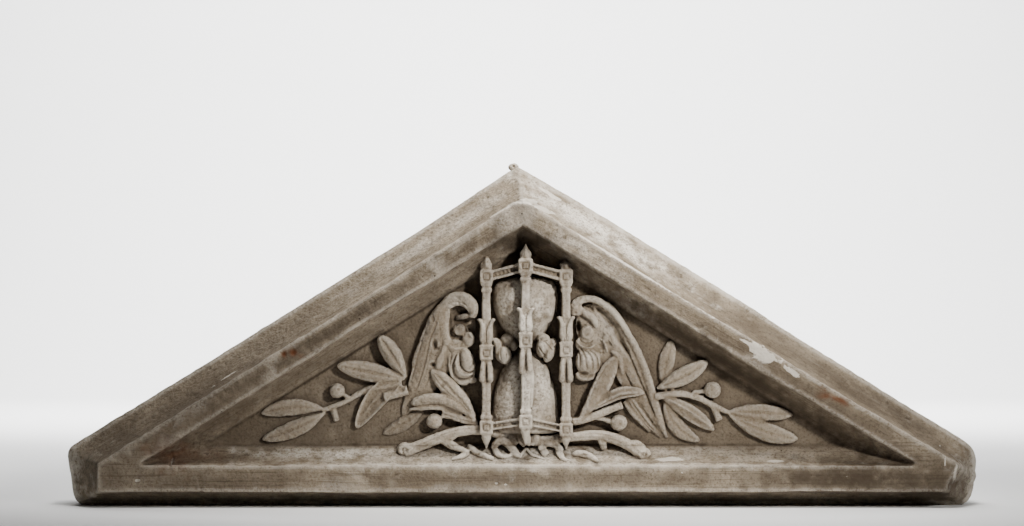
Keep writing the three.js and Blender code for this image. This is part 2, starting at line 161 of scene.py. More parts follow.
@dataclass
class BlockSizes:
    """Sizes of the block, from the frame and the mouldings' own widths."""

    half: float = (CAD_BOX[1][0] - CAD_BOX[0][0]) / 2 / MM
    apex: float = 447.0
    shoulder: float = 73.0
    front: float = CAD_BOX[0][1] / MM
    back: float = CAD_BOX[1][1] / MM
    foot_inset: float = 10.0
    worn: float = 14.0
    cove_depth: float = 70.0
    cove_rake: float = 41.0
    cove_end: float = 51.0
    cove_foot: float = 21.0
    band_rake: float = 27.5
    band_foot: float = 34.0
    band_worn: float = 4.0
    recess_depth: float = 50.0
    recess_step: float = 4.0
    recess_width: float = 24.0
    hollow: float = 1.7

    @property
    def pitch(self) -> float:
        """Slope of the gable in radians."""
        return math.atan2(self.apex - self.shoulder, self.half)

    @property
    def panel(self) -> float:
        """Y of the sunk panel."""
        return self.front + self.recess_depth

    def sill_lift(self, z: float) -> float:
        """How far the hollow moulding under the panel stands in front of the panel.

        Args:
            z: height in millimetres.

        Returns:
            The lift at that height.
        """
        share = (z - self.cove_foot - self.band_foot) / self.recess_width
        depth = min(max(share, 0.0), 1.0) ** (1 / self.hollow)
        return self.recess_depth - (self.recess_depth - self.recess_step) * depth


SIZES = BlockSizes()
SINK = 4.0  # how far the carving is rooted in the panel


# Modelling tools


class Profile(Enum):
    """Cross-section of a ridge, over its width from -1 to 1 and its length from 0 to 1."""

    ROUND = "round"
    LEAF = "leaf"
    CUPPED = "cupped"
    FOLDED = "folded"
    BARK = "bark"
    RAIL = "rail"

    def rise(self, across: np.ndarray, along: np.ndarray) -> np.ndarray:
        """Height of the section as a share of the crown.

        Args:
            across: places over the width, -1 to 1.
            along: places over the length, 0 to 1.

        Returns:
            The height at each place.
        """
        across, along = np.broadcast_arrays(across, along)
        dome = np.sqrt(np.clip(1.0 - across * across, 0.0, 1.0))
        if self is Profile.LEAF:
            veins = 0.035 * np.cos(9 * math.pi * (along * 1.4 - np.abs(across) * 0.5)) * dome
            rib = 0.36 * np.exp(-((across / 0.15) ** 2))
            return dome**1.2 + veins + 0.12 * across * dome - rib
        if self is Profile.CUPPED:
            return 1.0 - 1.9 * dome**1.6 + 0.5 * np.exp(-((across / 0.12) ** 2))
        if self is Profile.FOLDED:
            return 1.0 - np.abs(across + 0.15) ** 0.8 / 1.15**0.8
        if self is Profile.BARK:
            grain = 0.06 * np.cos(across * 11 + along * 9) + 0.05 * np.cos(across * 5 - along * 23)
            return dome * (1.0 + grain)
        if self is Profile.RAIL:
            fillets = np.clip((np.abs(across) - 0.38) / 0.14, 0.0, 1.0)
            beads = 0.12 * np.cos(along * 60) * (1.0 - fillets)
            return 0.15 + 0.85 * fillets + beads
        return dome


@dataclass
class Ridge:
    """A long raised form in the panel: a leaf, feather, stem, curl, rail or branch.

    rows hold x, z, lift, half width and crown at each drawn point. The crown swells above the
    lift by the profile.
    """

    rows: Rows
    profile: Profile = Profile.ROUND
    steps: int = 28
    sides: int = 12
    undercut: float = 0.0


@dataclass
class Boss:
    """A rounded lump: its place, its half width, half height and swell, and its turn in radians."""

    place: Triple
    radii: Triple
    turn: float = 0.0


@dataclass
class Mark:
    """A dent, a knob, a stain or a patch of painted shade or painted highlight: its place in x and z,
    its radii, its depth or strength.
    """

    x: float
    z: float
    across: float
    upright: float
    depth: float
    turn: float = 0.0

    def reach(self, x: np.ndarray, z: np.ndarray) -> np.ndarray:
        """Distance from the mark as a share of its radii.

        Args:
            x: places along the block in millimetres.
            z: heights in millimetres.

        Returns:
            0 in the middle of the mark and 1 on its edge.
        """
        dx, dz = x - self.x, z - self.z
        cos, sin = math.cos(self.turn), math.sin(self.turn)
        return np.hypot((dx * cos + dz * sin) / self.across, (dz * cos - dx * sin) / self.upright)


@dataclass
class Stroke:
    """A groove along a line, or a raised line where the depth is negative.

    rows hold x, z and half width at each drawn point.
    """

    rows: Rows
    depth: float

    def cut(self, x: np.ndarray, z: np.ndarray) -> np.ndarray:
        """Depth of the groove.

        Args:
            x: places along the block in millimetres.
            z: heights in millimetres.

        Returns:
            How far each place is sunk.
        """
        line = spline(self.rows, 14 * len(self.rows))
        ends = np.clip(np.minimum(np.arange(len(line)), np.arange(len(line))[::-1]) / 8.0, 0.25, 1.0)
        depth = np.zeros(len(x))
        reach = line[:, 2].max() + 1.0
        low, high = line[:, :2].min(axis=0) - reach, line[:, :2].max(axis=0) + reach
        near = (x > low[0]) & (x < high[0]) & (z > low[1]) & (z < high[1])
        found = np.zeros(int(near.sum()))
        for (px, pz, half), share in zip(line, ends):
            found = np.maximum(found, share * bump(np.hypot(x[near] - px, z[near] - pz) / half))
        depth[near] = found
        return depth * self.depth


@dataclass
class Clay:
    """Closed forms gathered up and then fused into one surface."""

    flare: float = 2.0  # how far a form's foot runs out into the panel
    corners: list[np.ndarray] = field(default_factory=list)
    faces: list[list[int]] = field(default_factory=list)
    used: int = 0

    def loft(self, rings: np.ndarray) -> None:
        """Adds a closed form through rings of equally many points.

        Args:
            rings: points by ring, corner and axis, in millimetres.
        """
        count, sides = rings.shape[:2]
        start = self.used
        caps = np.stack([rings[0].mean(axis=0), rings[-1].mean(axis=0)])
        self.corners += [rings.reshape(-1, 3), caps]
        first, last = start + count * sides, start + count * sides + 1
        ring = np.arange(sides)
        after = (ring + 1) % sides
        for r in range(count - 1):
            low, high = start + r * sides, start + (r + 1) * sides
            quads = np.stack([low + ring, low + after, high + after, high + ring], axis=1)
            self.faces += quads.tolist()
        top = start + (count - 1) * sides
        self.faces += [[first, start + b, start + a] for a, b in zip(ring.tolist(), after.tolist())]
        self.faces += [[last, top + a, top + b] for a, b in zip(ring.tolist(), after.tolist())]
        self.used = last + 1

    def ridge(self, form: Ridge) -> None:
        """Adds a ridge, with walls that flare where they meet the panel.

        Args:
            form: the ridge's drawing.
        """
        line = spline(form.rows, form.steps)
        middle = line[:, :2]
        heading = np.gradient(middle, axis=0)
        heading /= np.maximum(np.linalg.norm(heading, axis=1, keepdims=True), 1e-9)
        side = np.stack([heading[:, 1], -heading[:, 0]], axis=1)
        lift, half, crown = line[:, 2:3], np.maximum(line[:, 3:4], 0.2), line[:, 4:5]
        turn = np.linspace(0.0, math.pi, form.sides + 1)[None, :]
        across = np.cos(turn)
        along = np.linspace(0.0, 1.0, form.steps)[:, None]
        top_across = half * across
        top_lift = lift + crown * form.profile.rise(across, along)
        tuck = half * (1.0 - form.undercut)
        skirt = [half + self.flare, half + self.flare * 0.4, tuck]
        wall_across = np.concatenate([-edge for edge in reversed(skirt)] + skirt, axis=1)
        level = np.minimum(lift * 0.5, 6.0)
        foot = np.full_like(lift, -SINK)
        low = np.minimum(lift * 0.2, 1.6)
        wall_lift = np.concatenate([level, low, foot, foot, low, level], axis=1)
        offs = np.concatenate([top_across, wall_across], axis=1)
        lifts = np.concatenate([top_lift, wall_lift], axis=1)
        rings = np.empty((form.steps, offs.shape[1], 3))
        rings[..., 0] = middle[:, None, 0] + side[:, None, 0] * offs
        rings[..., 2] = middle[:, None, 1] + side[:, None, 1] * offs
        rings[..., 1] = SIZES.panel - lifts
        self.loft(rings)

    def boss(self, form: Boss) -> None:
        """Adds a rounded lump that runs down into the panel.

        Args:
            form: the lump's drawing.
        """
        rise = np.linspace(0.0, math.pi / 2, 8)
        radius = np.concatenate([[1.06, 1.03, 0.96], np.cos(rise[:-1]), [0.05]])
        lifts = np.concatenate([[-SINK, 0.5, form.place[2] * 0.5],
                                form.place[2] + form.radii[2] * np.sin(rise)])
        angle = np.linspace(0.0, 2 * math.pi, 24, endpoint=False)
        x = np.outer(radius * form.radii[0], np.cos(angle))
        z = np.outer(radius * form.radii[1], np.sin(angle))
        cos, sin = math.cos(form.turn), math.sin(form.turn)
        rings = np.empty((len(radius), len(angle), 3))
        rings[..., 0] = form.place[0] + x * cos + z * sin
        rings[..., 2] = form.place[1] - x * sin + z * cos
        rings[..., 1] = SIZES.panel - lifts[:, None]
        self.loft(rings)

    def fuse(self, name: str, grain: float, eases: int) -> bpy.types.Object:
        """Fuses the forms into one closed surface.

        Args:
            name: name of the new piece.
            grain: edge length of the fused surface in millimetres.
            eases: how often its edges are eased.

        Returns:
            The new object, with the fused mesh.
        """
        rough = bpy.data.meshes.new(name + "_rough")
        rough.from_pydata((np.concatenate(self.corners) * MM).tolist(), [], self.faces)
        piece = bpy.data.objects.new(name, rough)
        bpy.context.collection.objects.link(piece)
        remesh = piece.modifiers.new("fuse", "REMESH")
        remesh.mode = "VOXEL"
        remesh.voxel_size = grain * MM
        if eases:
            ease = piece.modifiers.new("ease", "SMOOTH")
            ease.factor = 0.5
            ease.iterations = eases
        settle(piece)
        bpy.data.meshes.remove(rough)
        return piece


def settle(piece: bpy.types.Object) -> None:
    """Applies a piece's modifiers.

    Args:
        piece: the object, which is left with a new mesh and no modifiers.
    """
    graph = bpy.context.evaluated_depsgraph_get()
    mesh = bpy.data.meshes.new_from_object(piece.evaluated_get(graph), depsgraph=graph)
    mesh.name = piece.name
    piece.modifiers.clear()
    piece.data = mesh


def read_rows(items: bpy.types.bpy_prop_collection, name: str) -> np.ndarray:
    """Reads a vector of three from each of a mesh's items.

    Args:
        items: vertices or normals.
        name: which of their values to read.

    Returns:
        One row for each item.
    """
    flat = np.empty(len(items) * 3, dtype=np.float32)
    items.foreach_get(name, flat)
    return flat.reshape(-1, 3).astype(float)


def read_points(mesh: bpy.types.Mesh) -> np.ndarray:
    """The mesh's vertices in millimetres, one row each."""
    return read_rows(mesh.vertices, "co") / MM


def read_normals(mesh: bpy.types.Mesh) -> np.ndarray:
    """The mesh's vertex normals, one row each."""
    return read_rows(mesh.vertex_normals, "vector")


def write_points(mesh: bpy.types.Mesh, points: np.ndarray) -> None:
    """Puts the vertices back, kept inside the CAD model's box.

    Args:
        mesh: the mesh to change.
        points: its vertices in millimetres.
    """
    low, high = (np.array(corner) / MM for corner in CAD_BOX)
    kept = np.clip(points, low, high) * MM
    mesh.vertices.foreach_set("co", kept.astype(np.float32).ravel())
    mesh.update()


def thin_out(piece: bpy.types.Object) -> None:
    """Brings a piece under the most triangles that it may have.

    Args:
        piece: the object to thin out.
    """
    count = sum(len(face.vertices) - 2 for face in piece.data.polygons)
    if count > TRIANGLES:
        thin = piece.modifiers.new("thin", "DECIMATE")
        thin.ratio = TRIANGLES / count
        settle(piece)
        write_points(piece.data, read_points(piece.data))


# The block


@dataclass
class Block:
    """The gabled block: its hollow mouldings, flat band, sunk panel, wear and chips."""

    sizes: BlockSizes = field(default_factory=BlockSizes)
    grain: float = 2.1
    lean: float = -7.0  # how far the ridge's back edge stands to one side
    drift: float = 12.0  # how far the right corner of the opening is drawn out
    corner_points: int = 7
    cove_steps: int = 18
    swell: tuple[Pair, ...] = ((1.1, 95), (0.6, 27), (0.42, 8))
    drag: float = 0.16  # height of the marks that the drawn template left
    drag_stretch: Triple = (60.0, 3.2, 3.2)
    loss: float = 0.6  # how much of the surface is worn off all over
    pit_size: float = 5.0
    pit_patch: float = 23.0  # spacing of the patches that the pinholes gather in
    pit_depth: float = 1.8
    chips: tuple[Mark, ...] = (
        Mark(-497, 36, 6, 5, 3.0),
        Mark(-455, 62, 3, 14, 2.0),
        Mark(-415, 28, 4, 14, 1.6),
        Mark(95, 58, 9, 5, 3.5),
        Mark(-34, 32, 5, 3.5, 3.0),
        Mark(-22, 31, 4, 3.0, 2.2),
        Mark(0, 397, 14, 4, 2.5),
        Mark(18, 394, 9, 4, 2.2),
        Mark(-14, 391, 7, 4, 2.0),
        Mark(160, 283, 7, 2.2, 1.6, -0.5),
        Mark(560, 62, 6, 30, 2.5),
        Mark(-296, 201, 6, 5, 2.6),
        Mark(-308, 199, 5, 4, 2.2),
    )

    def outline(self, inward: float, worn: float) -> np.ndarray:
        """Gable outline at a share of the way in from the edge, 0, to the band, 1.

        Args:
            inward: the share.
            worn: how much of each end corner is rounded off.

        Returns:
            Points in x and z, counter-clockwise from the right foot.
        """
        s = self.sizes
        half = s.half - s.cove_end * inward
        foot = s.cove_foot * inward
        inset = s.foot_inset * (1 - inward)
        apex = s.apex - s.cove_rake * inward / math.cos(s.pitch)
        shoulder = apex - half * math.tan(s.pitch)
        corners = [(half - inset, foot), (half, shoulder), (0.0, apex), (-half, shoulder),
                   (-half + inset, foot)]
        return self.rounded(corners, [worn * 1.3, worn * 1.5, 2.0, worn * 0.8, worn])

    def triangle(self, rake: float, foot: float) -> np.ndarray:
        """Triangle set in from the edge, with as many points as the outline.

        Args:
            rake: how far it is set in on the slopes.
            foot: how far it stands above the underside.

        Returns:
            Points in x and z, counter-clockwise from the right.
        """
        s = self.sizes
        apex = s.apex - rake / math.cos(s.pitch)
        half = (apex - foot) / math.tan(s.pitch)
        tiny = 0.01
        corners = [(half, foot), (half, foot + tiny), (0.0, apex), (-half, foot + tiny), (-half, foot)]
        return self.rounded(corners, [tiny / 4, tiny / 4, 1.5, tiny / 4, tiny / 4])

    def rounded(self, corners: list[Pair], radii: list[float]) -> np.ndarray:
        """Rounds the corners of a closed outline.

        Args:
            corners: the sharp corners.
            radii: how far each is cut back along its sides.

        Returns:
            Points in x and z.
        """
        points = []
        for i, radius in enumerate(radii):
            here = np.array(corners[i])
            before, after = np.array(corners[i - 1]), np.array(corners[(i + 1) % len(corners)])
            start = here + (before - here) / np.linalg.norm(before - here) * radius
            end = here + (after - here) / np.linalg.norm(after - here) * radius
            for t in np.linspace(0.0, 1.0, self.corner_points):
                points.append((1 - t) ** 2 * start + 2 * t * (1 - t) * here + t * t * end)
        return np.array(points)

    def rings(self) -> np.ndarray:
        """Rings of the whole block, from its back over its front and down into the panel.

        Returns:
            Points by ring, corner and axis.
        """
        s = self.sizes
        levels: list[tuple[np.ndarray, float]] = [(self.outline(0.0, s.worn), s.back)]
        for depth in np.linspace(1.0, 0.0, self.cove_steps):
            inward = 1.0 - depth**s.hollow
            worn = s.band_worn + (s.worn - s.band_worn) * (1 - inward)
            levels.append((self.outline(inward, worn), s.front + s.cove_depth * depth))
        rake, foot = s.cove_rake + s.band_rake, s.cove_foot + s.band_foot
        cove = s.recess_depth - s.recess_step
        for depth in np.linspace(0.0, 1.0, self.cove_steps):
            inward = s.recess_width * depth**s.hollow
            levels.append((self.triangle(rake + inward, foot + inward), s.front + cove * depth))
        levels.append((self.triangle(rake + s.recess_width, foot + s.recess_width), s.panel))
        rings = np.empty((len(levels), len(levels[0][0]), 3))
        for ring, (outline, y) in zip(rings, levels):
            ring[:, 0], ring[:, 2], ring[:, 1] = outline[:, 0], outline[:, 1], y
        return rings

    def wear(self, points: np.ndarray, normals: np.ndarray) -> np.ndarray:
        """Uneven casting, worn arrises, chips and pinholes, fading out towards the hidden back.

        Args:
            points: the fused surface in millimetres.
            normals: its normals.

        Returns:
            The worn surface.
        """
        s = self.sizes
        show = 1.0 - np.clip((points[:, 1] - s.front - s.cove_depth - 8) / 20, 0.0, 1.0)
        moved = points + normals * self.unevenness(points, show)[:, None]
        moved -= normals * self.cuts(points, show)[:, None]
        moved[:, 0] += self.shift(points, show)
        moved[:, 2] = np.where(points[:, 2] < 1.0, 0.0, moved[:, 2])
        return moved

    def unevenness(self, points: np.ndarray, show: np.ndarray) -> np.ndarray:
        """How far the casting swells over or falls short of its drawing.

        Args:
            points: the fused surface in millimetres.
            show: 1 on the front and 0 on the hidden back.

        Returns:
            The swell of each point along its normal.
        """
        s = self.sizes
        x, y, z = points.T
        along = np.stack([x * math.cos(s.pitch), y, z], axis=1) / np.array(self.drag_stretch)
        drag = self.drag * noise(along * 10, 10, 4)
        panel = np.clip(1.0 - np.abs(y - s.panel) / 3.0, 0.0, 1.0)
        return (swells(points, self.swell, 1) * (1.0 - 0.6 * panel) + drag) * show - self.loss * show

    def cuts(self, points: np.ndarray, show: np.ndarray) -> np.ndarray:
        """How deep the chips and pinholes are.

        Args:
            points: the fused surface in millimetres.
            show: 1 on the front and 0 on the hidden back.

        Returns:
            The depth of each point below the casting's skin.
        """
        x, y, z = points.T
        cut = np.zeros(len(points))
        edge = 1.0 + 0.35 * noise(points, 6, 11)
        for chip in self.chips:
            cut += chip.depth * bump(chip.reach(x, z) * edge) * (y < self.sizes.front + 30)
        holes = noise(points, self.pit_size, 21) * noise(points, self.pit_patch, 22)
        cut += np.minimum(np.clip(holes - 0.42, 0.0, 1.0) * 9.0, self.pit_depth) * show
        return cut

    def shift(self, points: np.ndarray, show: np.ndarray) -> np.ndarray:
        """How far the ridge and the right corner of the opening stand out of true.

        Args:
            points: the fused surface in millimetres.
            show: 1 on the front and 0 on the hidden back.

        Returns:
            The shift of each point along the block.
        """
        s = self.sizes
        x, y, z = points.T
        outer = np.clip((y - s.front) / s.cove_depth, 0.0, 1.0)
        high = np.clip((z - 360) / (s.apex - 360), 0.0, 1.0)
        from_edge = (s.apex - z) / math.tan(s.pitch) - np.abs(x)
        inside = np.clip((from_edge - 50) / 26, 0.0, 1.0) * np.clip((z - 30) / 25, 0.0, 1.0)
        drawn_out = self.drift * inside * np.clip(x / 480, 0.0, 1.1) ** 2 * show
        return self.lean * outer * high + drawn_out

    def build(self) -> bpy.types.Object:
        """Builds the block.

        Returns:
            The finished piece.
        """
        clay = Clay()
        clay.loft(self.rings())
        piece = clay.fuse("block", self.grain, 2)
        mesh = piece.data
        write_points(mesh, self.wear(read_points(mesh), read_normals(mesh)))
        thin_out(piece)
        return piece


# Carving


@dataclass
class Carving:
    """One carved motif, fused from ridges and bosses, then dented and roughened."""

    name: str = "carving"
    grain: float = 1.05
    eases: int = 1
    seed: int = 40
    rough: float = 0.8

    def ridges(self) -> list[Ridge]:
        """The long forms of the motif."""
        return []

    def bosses(self) -> list[Boss]:
        """The rounded lumps of the motif."""
        return []

    def dents(self) -> list[Mark]:
        """Hollows sunk into the fused motif."""
        return []

    def strokes(self) -> list[Stroke]:
        """Grooves and raised lines drawn on the fused motif."""
        return []

    def solids(self, clay: Clay) -> None:
        """Adds what is neither a ridge nor a boss."""

    def build(self) -> bpy.types.Object:
        """Builds the motif.

        Returns:
            The finished piece.
        """
        clay = Clay()
        for ridge in self.ridges():
            clay.ridge(ridge)
        for boss in self.bosses():
            clay.boss(boss)
        self.solids(clay)
        piece = clay.fuse(self.name, self.grain, self.eases)
        mesh = piece.data
        points, normals = read_points(mesh), read_normals(mesh)
        facing = np.clip(-normals[:, 1], 0.0, 1.0)
        sunk = np.zeros(len(points))
        for dent in self.dents():
            sunk += dent.depth * bump(dent.reach(points[:, 0], points[:, 2])) * facing
        for stroke in self.strokes():
            sunk += stroke.cut(points[:, 0], points[:, 2]) * facing
        uneven = swells(points, ((0.6, 14), (0.45, 5.5), (0.4, 2.6)), self.seed)
        moved = points + normals * (uneven * self.rough)[:, None]
        moved[:, 1] += sunk
        write_points(mesh, moved)
        thin_out(piece)
        return piece


def leaf(base: Pair, tip: Pair, width: float,
         bow: Pair = (0, 0), edge: Pair = (5, 5),
         crown: float = 5, profile: Profile = Profile.LEAF) -> Ridge:
    """One olive leaf.

    Args:
        base: x and z of its stalk end.
        tip: x and z of its tip.
        width: its greatest width.
        bow: how far its middle is moved sideways.
        edge: height of its edge at base and tip.
        crown: swell above its edge.
        profile: its cross-section.

    Returns:
        The leaf's ridge.
    """
    shares = ((0.0, 0.12, 0.3), (0.14, 0.5, 0.8), (0.3, 0.84, 1.0), (0.5, 1.0, 1.0), (0.7, 0.92, 0.9),
              (0.86, 0.66, 0.7), (0.95, 0.4, 0.5), (1.0, 0.12, 0.2))
    rows = []
    for t, wide, full in shares:
        push = 4 * t * (1 - t)
        x = base[0] + (tip[0] - base[0]) * t + bow[0] * push
        z = base[1] + (tip[1] - base[1]) * t + bow[1] * push
        rows.append((x, z, edge[0] + (edge[1] - edge[0]) * t, wide * width / 2, crown * full))
    return Ridge(rows, profile, steps=40, sides=22)


def stem(rows: Rows, profile: Profile = Profile.ROUND, undercut: float = 0.15) -> Ridge:
    """A stem, twig or curl, from rows of x, z, lift and one radius for half width and crown."""
    full = [(x, z, lift, radius, radius) for x, z, lift, radius in rows]
    return Ridge(full, profile, steps=10 * len(rows), sides=14, undercut=undercut)


@dataclass
class OliveSprays(Carving):
    """The two outer sprays, each with leaves, a twig with a berry and a stub."""

    name: str = "olive_sprays"
    grain: float = 1.15
    seed: int = 50

    def ridges(self) -> list[Ridge]:
        """Leaves and stems of both sprays.

        Returns:
            The ridges.
        """
        return [
            leaf((-152, 168), (-187, 223), 24, (-1, 3), (9, 12), 9),
            leaf((-154, 166), (-242, 184), 25, edge=(9, 9), crown=9),
            leaf((-158, 161), (-217, 102), 27, (1, 15), (12, 7), 4, Profile.CUPPED),
            leaf((-261, 127), (-341, 121), 22, (0, 5), (5, 4), 5.5),
            leaf((-258, 122), (-340, 87), 22, (2, -3), (5, 5), 5.5),
            leaf((-127, 128), (-182, 95), 18, (0, -3), (1.5, 1.5), 3),
            leaf((182, 160), (195, 217), 21, edge=(3, 4), crown=4),
            leaf((175, 154), (241, 189), 23, (1, -2), (8, 10), 7.5),
            leaf((182, 143), (250, 99), 20, (1, 2), (8, 6), 7, Profile.FOLDED),
            leaf((186, 139), (232, 85), 20, (-9, -6), (3, 4), 4),
            leaf((268, 124), (353, 119), 21, (0, 1), (5, 5), 5.5),
            leaf((270, 119), (359, 88), 24, (2, -6), (5, 6), 5.5),
            stem([(-158, 161, 8, 4.5), (-205, 151, 6, 4), (-231, 137, 6, 3.5), (-262, 125, 4, 3)]),
            stem([(-212, 145, 5, 2.6), (-226, 142, 7, 2.4), (-236, 147, 8, 2.4)]),
            stem([(-247, 126, 3, 4), (-243, 111, 3, 4.2)]),
            stem([(-150, 152, 8, 6.5), (-181, 143, 8, 5.5)], Profile.BARK),
            stem([(172, 143, 8, 5), (205, 147, 8, 4.5), (231, 141, 7, 4), (250, 131, 6, 4),
                  (272, 121, 4, 3)]),
            stem([(222, 149, 6, 2.6), (234, 150, 8, 2.4), (243, 151, 9, 2.4)]),
            stem([(250, 129, 5, 4), (257, 112, 6, 4.5)]),
        ]

    def bosses(self) -> list[Boss]:
        """The berries."""
        return [Boss((-242, 151, 9), (10, 10, 9.5)), Boss((248, 152, 10), (11, 10.5, 10))]

    def dents(self) -> list[Mark]:
        """Holes in the berries and the cut stubs."""
        return [Mark(-240, 153, 2.6, 2.6, 2.5), Mark(246, 152, 2, 2, 1.2),
                Mark(-158, 152, 6, 4.5, 4), Mark(257, 113, 3, 3, 3), Mark(-243, 113, 2.4, 2.4, 2)]


@dataclass
class Sprigs(Carving):
    """The inner sprigs crossed at the foot of the hourglass."""

    name: str = "sprigs"
    seed: int = 60

    def ridges(self) -> list[Ridge]:
        """Leaves and twigs of both sprigs.

        Returns:
            The ridges.
        """
        return [
            Ridge([(-119.5, 178, 13, 2.6, 2), (-112, 171, 14, 8, 5), (-101.5, 161, 15, 10.8, 6.5),
                   (-92, 151, 15, 11.2, 7), (-81.5, 140, 15, 10, 7), (-72, 129, 15, 6.8, 6),
                   (-66, 120, 14, 4, 4), (-61, 110, 13, 2.6, 3)], Profile.LEAF, 60, 26),
            Ridge([(-145, 134, 12, 2, 3), (-139.5, 136, 13, 5.6, 5.5), (-131, 138.6, 14, 6.8, 6.5),
                   (-120, 140.4, 15, 7.2, 7), (-107, 140, 16, 7.2, 7), (-94.5, 136.4, 16, 7, 7),
                   (-84, 131, 16, 6.4, 6), (-73.5, 124.5, 15, 5, 5),
                   (-62, 112, 14, 2.6, 3)], Profile.ROUND, 60, 22),
            Ridge([(-148, 126.5, 9, 1.4, 1.5), (-133, 128.4, 11, 3, 3), (-114, 130.2, 12, 4.4, 3.5),
                   (-95, 129, 12, 4.4, 3.5), (-78, 122, 12, 3, 3)], Profile.ROUND, 40, 14),
            Ridge([(126, 197, 11, 1.4, 2), (119, 189.7, 12, 7, 4), (112.5, 178, 13, 10.4, 5.5),
                   (106, 163.7, 14, 11.4, 6), (98, 148, 14, 10.4, 6), (89, 132.5, 14, 7.6, 5.5),
                   (80, 120.8, 13, 4.2, 4), (75, 112, 13, 2.6, 3)], Profile.ROUND, 60, 26),
            Ridge([(159, 147, 11, 1.6, 2), (150, 149.4, 13, 5.4, 4), (137, 149.4, 14, 7.6, 5.5),
                   (124, 146.8, 14, 7.8, 6), (111, 140.3, 14, 6.8, 6), (99.4, 133.8, 14, 5.2, 5),
                   (86, 126, 13, 3, 3)], Profile.FOLDED, 60, 26),
            stem([(-60, 111, 14, 3.2), (-78.8, 115.4, 15, 2.8), (-94.4, 120.6, 15, 2.6),
                  (-105, 123.4, 13, 1.8)]),
            stem([(-58, 107, 13, 3), (-78.8, 111, 14, 2.6), (-94, 116.4, 13, 2.6),
                  (-106, 118, 12, 2.6)]),
            stem([(64, 110, 13, 5), (80, 113, 14, 4.6), (94, 118.2, 15, 4.6),
                  (109.8, 124.7, 15, 4.8), (122, 129.6, 15, 4.8),
                  (130, 132.4, 15, 5)], Profile.BARK),
            stem([(96, 116.4, 12, 2.8), (106, 113.4, 12, 2.6), (117, 110, 11, 3)]),
        ]

    def bosses(self) -> list[Boss]:
        """The berries."""
        return [Boss((-115, 111, 10), (10.5, 10.2, 10)), Boss((125.4, 109, 10), (11.4, 11, 10.5))]

    def strokes(self) -> list[Stroke]:
        """Ribs and folds of the leaves.

        Returns:
            The strokes.
        """
        return [
            Stroke([(-118, 174, 1), (-107, 158, 1.3), (-94, 146, 1.3), (-80, 134, 1.2),
                    (-68, 120, 1)], 1.4),
            Stroke([(-140, 134, 1), (-120, 136, 1.2), (-98, 133, 1.2), (-80, 124, 1)], 0.8),
            Stroke([(-104, 144, 1), (-88, 138, 1.2), (-74, 128, 1)], 0.7),
            Stroke([(110, 184, 1.2), (97, 164, 1.6), (88, 144, 1.6), (78, 122, 1.2)], 1.2),
            Stroke([(150, 146, 1.2), (130, 144, 1.6), (110, 136, 1.6), (94, 128, 1.2)], 2.4),
            Stroke([(112, 128, 1), (122, 132, 1.1), (130, 134, 0.9)], 1.2),
        ]

    def dents(self) -> list[Mark]:
        """Dimples in the berries and the cut end of the right twig."""
        return [Mark(-112, 113, 2.4, 2.4, 1.2), Mark(127, 108, 2.4, 2.4, 1.2),
                Mark(131, 132.5, 3, 3, 1.5), Mark(-104, 158, 10, 4, 2.4, 0.8)]


